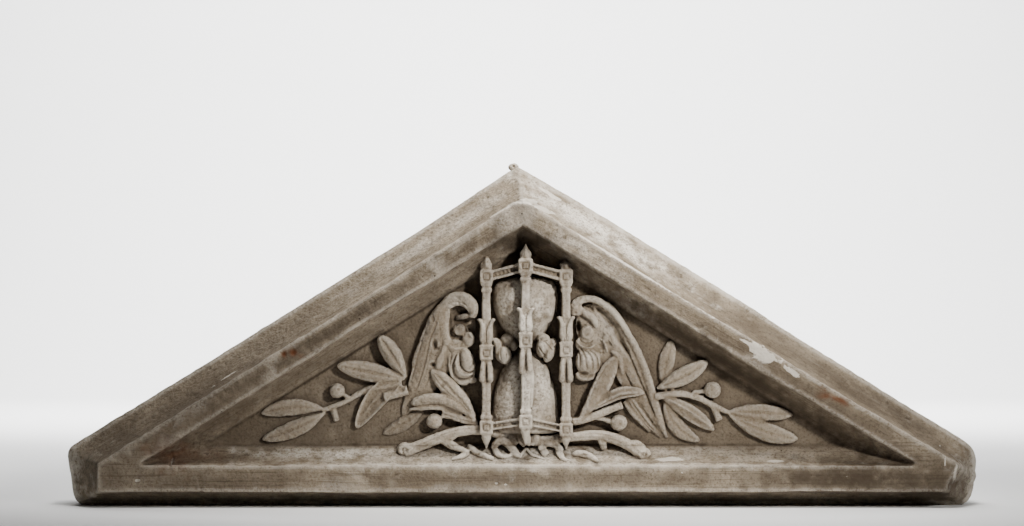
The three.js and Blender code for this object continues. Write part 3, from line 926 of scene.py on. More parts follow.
@dataclass
class Branches(Carving):
    """Two lopped branches on the sill with the ribbon that ties them."""

    name: str = "branches"
    seed: int = 70

    def ridges(self) -> list[Ridge]:
        """Branches, side shoots, ribbon curls and rough lumps between them.

        Returns:
            The ridges.
        """
        return [
            stem([(4, 91, 9, 5.4), (-29, 95, 12, 6), (-62, 100, 15, 6.4), (-94, 95, 17, 6.8),
                  (-120, 85, 18, 7.4), (-138, 78, 18, 7.4), (-148, 74.5, 18, 8.6),
                  (-154, 72.5, 17, 8.8)], Profile.BARK),
            stem([(-106, 89, 16, 6), (-92, 80, 18, 5.4), (-78, 74, 21, 3.4),
                  (-70, 71, 22, 2)], Profile.BARK),
            stem([(-4, 88, 9, 5.4), (23, 87, 11, 5.6), (68, 91, 15, 6.2), (100, 93, 17, 6.8),
                  (126, 86, 18, 7), (142, 78, 19, 7.2), (152, 71.5, 21, 8.4),
                  (158, 68, 21, 8.6)], Profile.BARK),
            stem([(102, 89, 16, 4.6), (105, 79, 17, 4.6), (106, 75, 17, 3.6)], Profile.BARK),
            stem([(132, 82, 18, 3.6), (148, 83, 18, 3.6), (159, 77, 19, 2.6)], Profile.BARK),
            self.ribbon([(-39, 75, 4, 2.6), (-35, 82, 9, 4), (-26.5, 86, 11, 4.8),
                         (-18.6, 82, 11, 5), (-12.6, 74.6, 9, 4.6), (-8, 68.5, 5, 3.6),
                         (-2, 65, 2, 1.8)]),
            self.ribbon([(-38, 78, 6, 2.8), (-35, 72, 6, 3.4), (-30, 67, 5, 3), (-22, 65.5, 4, 2.4),
                         (-14, 68, 3, 2)]),
            self.ribbon([(23, 74, 5, 2.6), (26, 80, 9, 3.6), (34, 82.4, 10, 3.8), (42, 81, 10, 4),
                         (47.4, 76, 9, 4.2), (49, 69.6, 7, 4), (51, 64, 4, 3.2), (57, 60, 1, 2)]),
            self.ribbon([(26, 77, 5, 3.2), (28, 71.5, 7, 4), (32, 68, 5, 3)]),
            self.ribbon([(-72, 79, 5, 2), (-66, 75, 5, 3.4), (-59, 70, 4, 3.6), (-50, 66, 3, 3.4),
                         (-38, 62, 2, 2.6)]),
            self.ribbon([(-92, 62, 1, 1.6), (-80, 65, 3, 3.4), (-70, 71, 4, 2.6)]),
            self.ribbon([(64, 68, 2, 1.8), (74, 69, 5, 4), (86, 66, 4, 4.2), (98, 60, 2, 1.6)]),
            self.ribbon([(4, 77, 3, 1.4), (-1, 69, 3, 1.5), (-9, 65, 2, 1.4)]),
            self.ribbon([(4, 77, 3, 1.4), (10, 69, 3, 1.6), (19, 65, 2, 1.4), (30, 62, 1, 1)]),
        ]

    def ribbon(self, rows: Rows) -> Ridge:
        """A low form on the hollow moulding, from rows of x, z, height above it and half width."""
        laid = [(x, z, SIZES.sill_lift(z) + height, half * 1.2, half) for x, z, height, half in rows]
        return Ridge(laid, Profile.ROUND, steps=10 * len(rows), sides=12)

    def bosses(self) -> list[Boss]:
        """The knot under the hourglass and the lopped ends.

        Returns:
            The bosses.
        """
        return [Boss((-11, 90, 12), (8, 11, 10)), Boss((17, 88, 12), (6, 9, 9)),
                Boss((-153, 74.5, 15), (10.5, 9, 10)), Boss((157, 68.5, 18), (10, 9, 9)),
                Boss((-94, 93, 16), (9, 7, 7))]

    def dents(self) -> list[Mark]:
        """Rings of the cut ends and hollows in the ribbon.

        Returns:
            The dents.
        """
        return [Mark(-154, 74, 6.4, 5.4, 4), Mark(-154, 74, 2.8, 2.4, -3),
                Mark(158, 68, 5.8, 5.2, 4), Mark(158, 68, 2.4, 2.4, -3), Mark(80, 68, 7, 2.2, 3),
                Mark(-57, 69, 8, 2, 2, 0.5), Mark(-128, 83, 3, 2, 1.5), Mark(112, 88, 3, 2, 1.5),
                Mark(-27, 79, 4, 4, 3), Mark(38, 74, 5, 4, 3)]

    def strokes(self) -> list[Stroke]:
        """Grain and wrinkles of the bark.

        Returns:
            The strokes.
        """
        return [
            Stroke([(-40, 98, 1), (-66, 102, 1.2), (-92, 98, 1.2), (-116, 89, 1)], 1.3),
            Stroke([(-50, 93, 0.9), (-76, 95, 1), (-100, 89, 0.9)], 1.1),
            Stroke([(40, 90, 1), (72, 94, 1.2), (100, 95, 1.2), (126, 89, 1)], 1.3),
            Stroke([(60, 87, 0.9), (86, 90, 1), (112, 86, 0.9)], 1.1),
        ]


@dataclass
class PostSizes:
    """One post of the hourglass frame: its place, how far it stands out and its heights."""

    x: float
    front: float
    drop: float
    foot: float
    sheath_foot: float
    middle: float
    sheath_top: float
    head: float
    tip: float
    head_half: float = 8.4

    def stations(self) -> list[tuple[float, float, float, float]]:
        """Turned and squared parts from the drop up to the tip.

        Returns:
            Height, half width, how far it stands in front, and roundness: 0 square, 1 round, 2 diamond.
        """
        foot, low, middle = self.foot, self.sheath_foot, self.middle
        top, head, wide = self.sheath_top, self.head, self.head_half
        return [
            (self.drop, 0.6, -9, 1.4), (self.drop + 5, 2.2, -5, 1.4), (foot - 16, 5.2, 0, 1.2),
            (foot - 13.4, 6.6, 0.6, 1), (foot - 12, 5.8, 0, 0.8), (foot - 10, 6.4, 0.4, 0.4),
            (foot - 9, 8.0, 2, 0.1), (foot - 8, 8.6, 3, 0), (foot + 7.4, 8.6, 3, 0),
            (foot + 8.4, 6.6, 0.6, 0.1), (foot + 10, 6.4, 0.4, 0.2), (foot + 11, 7.6, 1.8, 0.2),
            (foot + 14.4, 7.6, 1.8, 0.2), (foot + 16, 6, 0, 0.3), (foot + 22, 5.6, -0.6, 0.3),
            ((foot + low) / 2, 5.7, -0.4, 0.3), (low - 6, 5.8, -0.4, 0.3),
            (low - 1, 5.8, -0.4, 0.4), (low + 3, 6, 0, 0.6), (middle - 16, 7, 0.8, 0.5),
            (middle - 11.4, 7.2, 1, 0.3), (middle - 10.6, 6, -0.4, 0.2),
            (middle - 9.4, 6.2, 0, 0.1), (middle - 8.6, 8.4, 3, 0), (middle + 7.4, 8.6, 3, 0),
            (middle + 8.4, 9, 3.4, 0.05), (middle + 10, 9, 3.2, 0.1), (middle + 11.4, 7.2, 1, 0.3),
            (top - 20, 7.8, 1.8, 0.7), (top - 10, 7.6, 1.6, 0.7), (top - 2, 6.4, 0.4, 0.6),
            (top + 4, 5.6, -0.6, 0.4), ((head + top) / 2, 5.3, -0.8, 0.35),
            (head - 21, 5.3, -0.8, 0.35), (head - 19.8, 6.8, 1, 0.2), (head - 16.4, 7.2, 1.6, 0.2),
            (head - 15, 5.8, 0, 0.2), (head - 13, 5.6, 0, 0.2), (head - 12, 7.4, 1.8, 0.2),
            (head - 9.4, 7.6, 2, 0.1), (head - 8.4, wide - 0.2, 3, 0), (head + 7, wide, 3.2, 0),
            (head + 8.4, wide - 0.8, 2.6, 0.1), (head + 9.4, 6.6, 0.6, 0.8),
            (head + 12, 7.2, 1, 1.7), (head + 15, 7.8, 1.6, 2), (head + 18, 6.6, 0.6, 2),
            (self.tip - 6, 3.4, -2, 2), (self.tip - 2, 1.4, -4.4, 2), (self.tip, 0.4, -6, 2),
        ]


@dataclass
class Hourglass(Carving):
    """The hourglass: two bulbs in a frame of three visible posts joined by rails."""

    name: str = "hourglass"
    grain: float = 0.95
    seed: int = 80
    rough: float = 0.576
    axis: float = 3.5
    flat: float = 0.62
    posts: tuple[PostSizes, ...] = (
        PostSizes(-47.3, 27, 76, 104, 166, 200, 240, 300, 329),
        PostSizes(56.4, 27, 74, 101, 166, 204, 243, 300, 327, 8.8),
        PostSizes(3.8, 42, 80, 112, 178, 216, 254, 313.5, 341.5, 9.4),
    )
    bulbs: tuple[tuple[Pair, ...], ...] = (
        ((211, 3), (216, 15), (224, 24), (236, 32.5), (252, 40), (270, 43.5), (284, 42.5), (295, 36),
         (299, 24), (300, 10), (300, 3)),
        ((209, 3), (206, 8), (201, 12), (192, 21), (180, 30), (165, 36), (145, 41), (120, 44), (98, 45),
         (97, 3)),
    )

    def solids(self, clay: Clay) -> None:
        """Adds the bulbs and the turned and squared posts.

        Args:
            clay: the forms gathered so far.
        """
        angle = np.linspace(0.0, 2 * math.pi, 64, endpoint=False)
        for profile in self.bulbs:
            line = spline([(z, half) for z, half in profile], 60)
            rings = np.empty((len(line), len(angle), 3))
            rings[..., 0] = self.axis + line[:, 1:2] * np.cos(angle)
            rings[..., 1] = SIZES.panel + self.flat * line[:, 1:2] * np.sin(angle)
            rings[..., 2] = line[:, 0:1]
            clay.loft(rings)
        turn = np.linspace(0.0, math.pi, 17)
        cos, sin = np.cos(turn), np.sin(turn)
        for post in self.posts:
            rings = []
            for z, half, ahead, roundness in post.stations():
                power = 0.14 + 0.86 * roundness
                wide = np.sign(cos) * np.abs(cos) ** power * half
                depth = min(half, 7.0)
                out = post.front + ahead - depth + depth * sin**power
                wide = np.concatenate([wide, [-half * 0.9, half * 0.9]])
                out = np.concatenate([out, [-SINK, -SINK]])
                level = np.full(len(wide), z)
                rings.append(np.stack([post.x + wide, SIZES.panel - out, level], axis=1))
            clay.loft(np.array(rings))

    def ridges(self) -> list[Ridge]:
        """Rails, sheath leaves and hanging lobes of the posts.

        Returns:
            The ridges.
        """
        centre = self.posts[2]
        forms = []
        for side in self.posts[:2]:
            ends = ((centre.head - 1, side.head - 1, 6.6), (centre.foot, side.foot, 5.2))
            for from_z, to_z, half in ends:
                rows = [(centre.x, from_z, centre.front - 10, half, 6),
                        (side.x, to_z, side.front - 6, half, 6)]
                forms.append(Ridge(rows, Profile.RAIL, steps=90, sides=34, undercut=0.3))
        for post in self.posts:
            for hand in (-1, 1):
                forms += self.sheath(post, hand)
        forms += [
            Ridge([(-37, 219, 22, 2, 3), (-34, 215, 22, 4.6, 4), (-32, 208, 20, 4, 4),
                   (-34, 200, 18, 2, 2)], Profile.LEAF, 24, 18),
            Ridge([(4, 187, 42, 1, 1), (4, 178, 42.4, 3.4, 2.4), (4, 170, 42, 5, 1.4),
                   (4, 168, 41, 3, 1)], Profile.FOLDED, 24, 16, 0.2),
            Ridge([(11, 184, 35, 2, 3), (11, 170, 36, 3.6, 4), (10.8, 150, 35, 3.6, 4),
                   (9.6, 130, 33, 2.6, 3)], Profile.ROUND, 30, 14, 0.2),
            stem([(-1, 101, 16, 4), (-3, 93, 18, 5), (-1, 83, 18, 3.2), (2, 78, 17, 1.4)]),
            stem([(13, 92, 15, 3), (15, 86, 16, 3.6), (12, 80, 16, 2.4)]),
            Ridge([(4, 102, 30, 2, 2), (5, 94, 31, 4.4, 3), (7, 86, 30, 3.8, 3),
                   (8, 79, 26, 1, 1)], Profile.LEAF, 24, 16, 0.2),
        ]
        return forms

    def sheath(self, post: PostSizes, hand: int) -> list[Ridge]:
        """Leaves on one side of a post, above and below its middle block.

        Args:
            post: the post.
            hand: -1 for the left side and 1 for the right.

        Returns:
            Its ridges.
        """
        x, front, top, low, middle = post.x, post.front, post.sheath_top, post.sheath_foot, post.middle
        return [
            Ridge([(x + hand * 3, middle + 12, front - 1, 2.6, 3),
                   (x + hand * 4.4, top - 22, front - 1, 4.2, 4.4),
                   (x + hand * 4.8, top - 12, front - 1, 3.8, 4.4),
                   (x + hand * 5.6, top - 4, front, 2.8, 3.6),
                   (x + hand * 7.4, top + 1, front + 0.6, 2.2, 3.2),
                   (x + hand * 9.6, top + 3, front + 1, 2.3, 3),
                   (x + hand * 10.8, top + 2, front, 1.6, 2)], Profile.ROUND, 34, 14, 0.2),
            Ridge([(x + hand * 1.2, middle + 14, front + 0.6, 1.2, 2.4),
                   (x + hand * 1.8, top - 14, front + 1, 1.6, 3),
                   (x + hand * 3.4, top - 5, front + 1, 1.2, 2.4)], Profile.ROUND, 24, 12, 0.2),
            Ridge([(x + hand * 3.8, middle - 11.6, front - 1.6, 3.2, 3.6),
                   (x + hand * 4.2, middle - 18, front - 1.2, 4, 4.6),
                   (x + hand * 4.5, low + 8, front - 1, 4.2, 5.4),
                   (x + hand * 5, low + 2, front - 0.6, 4.4, 6),
                   (x + hand * 5.4, low - 2, front - 0.8, 3.6, 4.8),
                   (x + hand * 5.6, low - 4, front - 1.6, 2, 2.6)], Profile.ROUND, 34, 14, 0.1),
        ]

    def bosses(self) -> list[Boss]:
        """Pods on both sides of the glass's neck.

        Returns:
            The bosses.
        """
        return [
            Boss((-24.2, 197.5, 11), (9.6, 12.4, 14), -0.1),
            Boss((-31, 200, 9), (6, 11, 10), -0.15),
            Boss((-20, 216, 7), (9.4, 10, 10)),
            Boss((-12, 210, 8), (6, 7, 8)),
            Boss((28, 208, 12), (10.5, 14, 13), 0.3),
            Boss((35, 200, 12), (7, 13, 12), 0.4),
            Boss((27, 219, 10), (8.4, 6.6, 9)),
            Boss((40, 212, 10), (5, 8, 9)),
        ]

    def strokes(self) -> list[Stroke]:
        """Frames and bosses of the blocks, clefts of the sheaths and folds of the pods.

        Returns:
            The strokes.
        """
        marks = []
        for post in self.posts:
            for z in (post.foot - 0.4, post.middle - 0.4, post.head - 0.6):
                x, r = post.x, 4.2
                corners = ((-r, -r), (r, -r), (r, r), (-r, r))
                ring = [(x + dx, z + dz, 1.5) for dx, dz in corners]
                marks += [Stroke([a, b], 2.4) for a, b in zip(ring, ring[1:] + ring[:1])]
            low, top, middle = post.sheath_foot, post.sheath_top, post.middle
            marks.append(Stroke([(post.x, middle - 14, 1), (post.x, (low + middle) / 2, 1.4),
                                 (post.x, low - 3, 2)], 4.2))
            marks.append(Stroke([(post.x, top - 4, 2.6), (post.x, top - 12, 1.4),
                                 (post.x, middle + 13, 1)], 2.4))
        marks += [
            Stroke([(-28, 207, 1), (-29, 198, 1.4), (-27, 188, 1)], 2.6),
            Stroke([(-22, 208, 1), (-21, 197, 1.4), (-23, 187, 1)], 2.2),
            Stroke([(20, 210, 1.2), (26, 200, 1.6), (33, 190, 1.2)], 3.0),
            Stroke([(28, 216, 1), (35, 208, 1.6), (43, 200, 1.4)], 2.4),
            Stroke([(22, 219, 1), (28, 215, 1.4), (34, 218, 1)], 2.2),
        ]
        return marks

    def dents(self) -> list[Mark]:
        """Pinholes in the glass."""
        return [Mark(-33, 130, 1.8, 1.8, 2.2), Mark(57.4, 268, 1.6, 2, 2),
                Mark(-10, 127, 1.5, 1.2, 1.2)]


@dataclass
class LeftWing(Carving):
    """The left wing: hood and curls beside the hourglass, feathers sweeping down to the left."""

    name: str = "wing_left"
    seed: int = 90

    def ridges(self) -> list[Ridge]:
        """Body, hood, shelf and curls.

        Returns:
            The ridges.
        """
        return [
            Ridge([(-97, 270, 8, 4, 4), (-106, 256, 9, 8, 7), (-110, 243, 9, 13, 9),
                   (-112, 230, 9, 16.5, 9), (-113.5, 217, 9, 20, 8), (-116, 204, 8, 22, 7),
                   (-119, 191, 8, 24, 6), (-122, 178, 7, 24, 5), (-128, 165, 6, 20, 4),
                   (-135, 152, 5, 17, 4), (-144, 139, 4, 11.5, 3), (-152, 126, 3, 6, 2),
                   (-156, 118, 1, 2, 1)], Profile.ROUND, 60, 26),
            Ridge([(-108, 262, 8, 3, 4), (-114, 248, 8, 5.5, 6), (-120, 230, 8, 7, 6.5),
                   (-125, 211, 8, 8.5, 6), (-130, 191, 7, 9.5, 5), (-136, 172, 5, 10, 5),
                   (-144, 148, 3, 8.5, 4), (-152, 127, 2, 5, 3),
                   (-157, 114, 0, 2, 1)], Profile.ROUND, 50, 20),
            Ridge([(-108, 236, 12, 3, 2), (-113, 224, 12, 4, 3), (-120, 205, 11, 5, 4),
                   (-123, 188, 10, 6, 4), (-129, 168, 7, 6.5, 4), (-136, 150, 5, 5.5, 3),
                   (-142, 138, 4, 3, 2)], Profile.ROUND, 44, 16),
            Ridge([(-101, 212, 14, 4, 3), (-105, 199, 14, 5, 4), (-109, 187, 13, 5, 4),
                   (-112, 176, 11, 4, 3)], Profile.ROUND, 30, 16),
            Ridge([(-106, 257, 9, 6, 5), (-99, 264, 12, 8, 5), (-91, 269.5, 14, 9, 6),
                   (-81.4, 271, 16, 9, 6.5), (-73, 268, 17, 9.4, 7), (-66.6, 261.5, 17, 8.6, 7),
                   (-64.4, 253, 16, 6.4, 6), (-66, 246, 14, 4, 4)], Profile.ROUND, 60, 22, 0.1),
            Ridge([(-102, 262, 10, 7, 4), (-104, 243, 11, 8, 5), (-103.5, 224, 12, 8, 5.5),
                   (-99, 211, 12, 7.4, 5.5)], Profile.ROUND, 30, 20),
            Ridge([(-87, 245.6, 8, 2.6, 3), (-79, 247.4, 10, 3.6, 4.5), (-71, 249.6, 11, 3.6, 4.5),
                   (-64, 252, 12, 2.4, 3)], Profile.ROUND, 30, 14),
        ]

    def bosses(self) -> list[Boss]:
        """Floors of the hollows, the ball under the hood and the core of the curl.

        Returns:
            The bosses.
        """
        return [
            Boss((-82, 238, 3), (21, 36, 3)),
            Boss((-88, 203, 11), (17, 15, 5)),
            Boss((-79.6, 183, 10), (18, 26, 9), -0.08),
            Boss((-73.4, 192, 15), (8, 14.5, 7), -0.15),
            Boss((-82.6, 230.4, 10), (8, 8, 6)),
            Boss((-70.6, 218, 11), (8.4, 10, 6)),
            Boss((-67, 165, 9), (7, 4.6, 5)),
        ]

    def strokes(self) -> list[Stroke]:
        """Partings of the feathers and folds of the hood.

        Returns:
            The strokes.
        """
        return [
            Stroke([(-109, 252, 2), (-113, 238, 2.2), (-119, 222, 2), (-124, 204, 2),
                    (-128, 186, 2), (-133, 168, 2), (-140, 150, 1.8)], 1.3),
            Stroke([(-104, 222, 1.6), (-106, 206, 1.8), (-113, 192, 2), (-120, 172, 2),
                    (-130, 150, 1.6)], 1.3),
            Stroke([(-121, 244, 1.4), (-128, 226, 1.8), (-134, 206, 1.8), (-140, 184, 1.8),
                    (-147, 160, 1.6)], 1.0),
            Stroke([(-116, 214, 1.4), (-121, 196, 1.6), (-125, 178, 1.6), (-133, 158, 1.4)], 0.9),
            Stroke([(-88, 274, 1.4), (-80, 268, 1.6), (-73, 262, 1.4)], 0.9),
            Stroke([(-99, 262, 1.4), (-92, 266, 1.6), (-83, 266.5, 1.8), (-75, 263, 1.8),
                    (-69, 256, 1.6)], 1.3),
            Stroke([(-111, 250, 1.2), (-108, 236, 1.4), (-107, 220, 1.2)], 0.9),
            Stroke([(-103, 205, 1.4), (-101, 190, 1.6), (-103, 176, 1.4)], 1.2),
            Stroke([(-82, 202, 1.4), (-81.6, 191, 2), (-80.4, 183, 2.2), (-75, 176.6, 2.2),
                    (-68.4, 174.8, 2), (-63, 178, 1.6)], 5.0),
            Stroke([(-85.4, 200, 1.2), (-89.8, 188.4, 2), (-91, 180, 2.6), (-88, 171, 3.2),
                    (-81.4, 166.4, 2.8), (-71, 167.4, 2.2), (-62, 173, 1.8)], 5.5),
            Stroke([(-86.4, 196, 2.2), (-86.6, 183.4, 2.6), (-82, 174.4, 2.6), (-73.6, 170.8, 2.6),
                    (-65.8, 173.6, 2.2)], -1.4),
            Stroke([(-96, 196, 1.6), (-96, 178, 1.8), (-91.4, 167, 2), (-83.6, 160, 2.2),
                    (-76.2, 159, 1.8)], -2.6),
            Stroke([(-100, 212, 2.4), (-90, 206.6, 3), (-79, 206, 3), (-68, 205, 2.4)], -2.4),
            Stroke([(-73.4, 236, 1.8), (-71, 227.6, 2.4), (-66.2, 221.8, 2.6),
                    (-62.6, 217.4, 2)], -3.0),
            Stroke([(-86.4, 235, 1.6), (-81.6, 237, 2), (-77.4, 233.4, 1.6)], -1.8),
            Stroke([(-74, 205, 1.2), (-68, 208, 1.4), (-63, 209, 1.2)], 2.0),
            Stroke([(-97, 206, 1.2), (-93, 199, 1.6), (-94, 190, 1.4)], 1.6),
            Stroke([(-96.6, 257, 3), (-96, 240, 3.6), (-94, 222, 3)], 2.6),
        ]

    def dents(self) -> list[Mark]:
        """Pockets between the feathers.

        Returns:
            The dents.
        """
        return [Mark(-114.6, 211, 4.6, 9, 8), Mark(-111, 206.5, 5, 3, 3),
                Mark(-117, 185, 5.4, 3.6, 7), Mark(-117.5, 246, 4, 8, 2.2, 0.4),
                Mark(-76, 241, 7, 4, 3), Mark(-80.4, 251, 1.6, 3, 1.6),
                Mark(-74.6, 252.4, 1.6, 3, 1.6), Mark(-69, 254, 1.6, 3, 1.6),
                Mark(-92, 262, 3, 2.4, 1.5), Mark(-84, 265, 2.4, 3, 1.5),
                Mark(-78, 263, 2.4, 3, 1.5)]


@dataclass
class RightWing(Carving):
    """The right wing: hooked edge, hollow inside it, curls beside the hourglass and long feathers."""

    name: str = "wing_right"
    seed: int = 100

    def ridges(self) -> list[Ridge]:
        """Body, hooked edge, feathers, ragged inner edge and curls.

        Returns:
            The ridges.
        """
        return [
            Ridge([(90, 262, 7, 8, 1), (103, 255, 8, 14, 2), (111, 243, 9, 17, 2),
                   (117, 230, 9, 20, 2), (123, 217, 8, 21, 2), (129, 204, 8, 21, 2),
                   (136, 191, 8, 21, 2), (141.5, 178, 7, 21, 2), (147, 165, 6, 20, 2),
                   (151, 152, 6, 20, 2), (155, 139, 5, 19, 2), (161, 126, 4, 17, 2),
                   (168, 113, 3, 14, 2), (177, 100, 1, 9, 2),
                   (185, 91, 0, 4, 1)], Profile.ROUND, 70, 26),
            Ridge([(67.5, 249, 12, 4, 4), (66.5, 257, 14, 6, 5.5), (70, 264.5, 15, 6, 5.6),
                   (78, 269.4, 15, 5, 5.4), (89, 270.6, 15, 4.4, 5), (97.4, 268.4, 14, 4.2, 4.6),
                   (107, 262.6, 13, 4, 4.4), (116, 254.8, 12, 4, 4.4), (124, 245.7, 12, 4, 4.4),
                   (132.5, 233.4, 11, 4.2, 4.4), (139.7, 221, 10, 4.4, 4.4),
                   (146.8, 208, 10, 4.8, 4.4), (153, 195, 9, 5, 4.4), (158, 182, 9, 5.2, 4.4),
                   (162.5, 169, 8, 5.4, 4.6), (166.5, 156, 7, 5.6, 4.8), (171, 139, 6, 5.6, 5),
                   (176, 122, 5, 5.4, 5), (181, 106.5, 3.5, 5, 4.6), (186, 95, 1.5, 3, 3),
                   (189, 89, 0, 1, 1)], Profile.ROUND, 120, 20),
            Ridge([(134, 214, 7, 3, 1), (141, 203, 7, 5, 2), (148, 187, 8, 6, 2.4),
                   (155.5, 168, 7, 6, 2.6), (162, 149, 6, 6, 2.6), (168.6, 132, 5, 6, 2.6),
                   (175, 115, 3, 5, 2.4), (182, 98, 0, 3, 1)], Profile.ROUND, 50, 18),
            Ridge([(130, 196, 7, 3, 1), (135, 187, 8, 5, 2.4), (145, 167, 8, 6.4, 3),
                   (154, 148, 7, 6.4, 3), (163, 130, 5, 5.8, 3), (171.5, 113, 3.5, 5, 3),
                   (180, 97, 1, 3, 2)], Profile.ROUND, 50, 18),
            Ridge([(136, 152, 5, 4, 2), (146, 134, 6, 5, 3), (157, 118, 5, 4.6, 3),
                   (168, 104, 3.5, 4, 3), (178, 93, 1, 2.4, 1.6)], Profile.ROUND, 44, 16),
            Ridge([(133, 137, 4, 3, 2), (143, 123, 5, 3.8, 3), (155, 110, 4, 3.6, 3),
                   (167, 98, 2, 2.8, 2)], Profile.ROUND, 40, 16),
            Ridge([(98, 236, 7, 3, 2), (105, 231, 9, 4.4, 4), (113, 224, 10, 5.6, 4.5),
                   (119, 215, 10, 5, 4), (123, 207, 9, 3, 2)], Profile.ROUND, 34, 16),
            Ridge([(112, 203, 8, 2, 2), (119, 200.5, 10, 3.6, 4), (126, 192, 10, 4.6, 4.5),
                   (129.5, 181, 9, 4, 4), (131, 172, 8, 2, 2)], Profile.ROUND, 34, 16),
            Ridge([(75, 258, 12, 3, 3), (81, 252.4, 12, 4.4, 4.5), (89, 247, 12, 4.8, 5),
                   (94.4, 240.4, 12, 4.4, 4.5), (96, 233, 10, 3, 3)], Profile.ROUND, 34, 16),
        ]

    def bosses(self) -> list[Boss]:
        """Floors of the hollows, the eye of the hook, the ball and the body of the bunch.

        Returns:
            The bosses.
        """
        return [
            Boss((88, 236, 6), (19, 28, 4)),
            Boss((102, 204, 6), (18, 28, 5)),
            Boss((71, 257, 12), (7.6, 9, 6)),
            Boss((86, 212, 9), (17, 14, 5)),
            Boss((84, 226.4, 11), (9, 10, 7)),
            Boss((86, 189, 10), (17, 19, 9)),
            Boss((82, 170.6, 8), (14, 7.6, 4)),
            Boss((112, 224, 10), (5.6, 13, 5), 0.55),
        ]

    def strokes(self) -> list[Stroke]:
        """Partings of the feathers and of the bunch.

        Returns:
            The strokes.
        """
        return [
            Stroke([(70.6, 210, 1.4), (73.2, 201, 1.8), (74.6, 191, 2), (74.6, 181, 1.6)], 2.6),
            Stroke([(73.4, 207.6, 1.4), (79.6, 200, 1.8), (82.4, 190, 2.2), (83.6, 179, 1.8)], 2.8),
            Stroke([(78.6, 205, 1.4), (87.4, 197.6, 1.8), (91, 187.4, 2.2), (91.4, 177, 1.8)], 2.8),
            Stroke([(85, 204.4, 1.4), (94, 197.6, 1.8), (97.6, 188.4, 2), (98.4, 177, 1.6)], 2.6),
            Stroke([(91, 206, 1.3), (99, 200, 1.6), (103, 190, 1.6)], 1.8),
            Stroke([(68.8, 176, 1.8), (73.2, 167.4, 2.4), (81.8, 163.8, 2.6), (90.2, 166.4, 2.4),
                    (95.6, 176, 1.8)], -2.6),
            Stroke([(78, 235.6, 1.8), (87.4, 234.4, 2.2), (92.6, 227.6, 1.8)], -2.4),
            Stroke([(73.4, 219.4, 1.5), (78.4, 214, 1.8), (86.4, 212.8, 1.8),
                    (93, 217.4, 1.5)], 2.8),
            Stroke([(70.6, 215.6, 1.6), (76.8, 208.6, 2), (87.4, 207, 2),
                    (95.4, 211.6, 1.8)], -2.2),
            Stroke([(99, 220, 1.6), (105.2, 215, 2.2), (109, 206.8, 2.4), (111, 199.6, 1.6)], -3.4),
            Stroke([(99, 213, 1.6), (103, 208, 2.2), (105.6, 201, 1.8)], 2.6),
            Stroke([(124, 221, 1.6), (137, 201.4, 1.8), (145, 184.5, 1.9), (152.7, 165, 1.9),
                    (160.5, 148, 1.8), (167, 132.5, 1.7), (172.5, 118, 1.4)], 3.4),
            Stroke([(133, 176, 1.6), (139, 164, 1.6), (145, 152, 1.4)], 2.4),
            Stroke([(139, 141, 1.6), (151, 124, 1.8), (163, 108, 1.6), (174, 96, 1.2)], 2.4),
            Stroke([(146, 141, 1.4), (157, 126, 1.6), (169, 110, 1.4), (179, 97, 1)], 2.4),
            Stroke([(101, 194, 1.4), (104, 182, 1.6), (102, 170, 1.2)], 1.6),
            Stroke([(92, 259, 4), (102, 254, 5.6), (113, 242, 6.6), (122, 228, 6.4),
                    (131, 212, 5.6), (139, 198, 4)], 6.0),
            Stroke([(80, 261, 2), (87, 259.6, 3), (93, 254, 3)], 5.0),
            Stroke([(106, 230, 1.3), (113, 222, 1.4), (117, 213, 1.2)], 1.6),
        ]

    def dents(self) -> list[Mark]:
        """Pits in the hook and under the ragged edge.

        Returns:
            The dents.
        """
        return [Mark(74, 261, 3, 4, 2.4), Mark(69, 252, 2.4, 3, 2), Mark(83.6, 224, 4, 4, 1.5),
                Mark(72, 235, 5.4, 9.6, 12), Mark(79.6, 173.6, 8, 3.6, 6),
                Mark(104.6, 200, 3, 3, 3), Mark(66, 262, 2, 3, 1.6), Mark(68, 245, 3, 3, 4)]


@dataclass
class RidgeLump(Carving):
    """The lump left at the ridge, with a pit in it."""

    name: str = "ridge_lump"
    grain: float = 0.6
    seed: int = 120
    x: float = -12.0
    y: float = -4.0
    z: float = 444.6
    radius: float = 5.4

    def solids(self, clay: Clay) -> None:
        """Adds the lump.

        Args:
            clay: the forms gathered so far.
        """
        rise = np.linspace(-math.pi / 2 + 0.1, math.pi / 2 - 0.1, 14)
        angle = np.linspace(0.0, 2 * math.pi, 24, endpoint=False)
        rings = np.empty((len(rise), len(angle), 3))
        rings[..., 0] = self.x + self.radius * 1.3 * np.outer(np.cos(rise), np.cos(angle))
        rings[..., 1] = self.y + self.radius * 1.1 * np.outer(np.cos(rise), np.sin(angle))
        rings[..., 2] = self.z + self.radius * np.sin(rise)[:, None]
        clay.loft(rings)

    def dents(self) -> list[Mark]:
        """The pit."""
        return [Mark(self.x, self.z + 1, 2.8, 2.8, 3.5)]
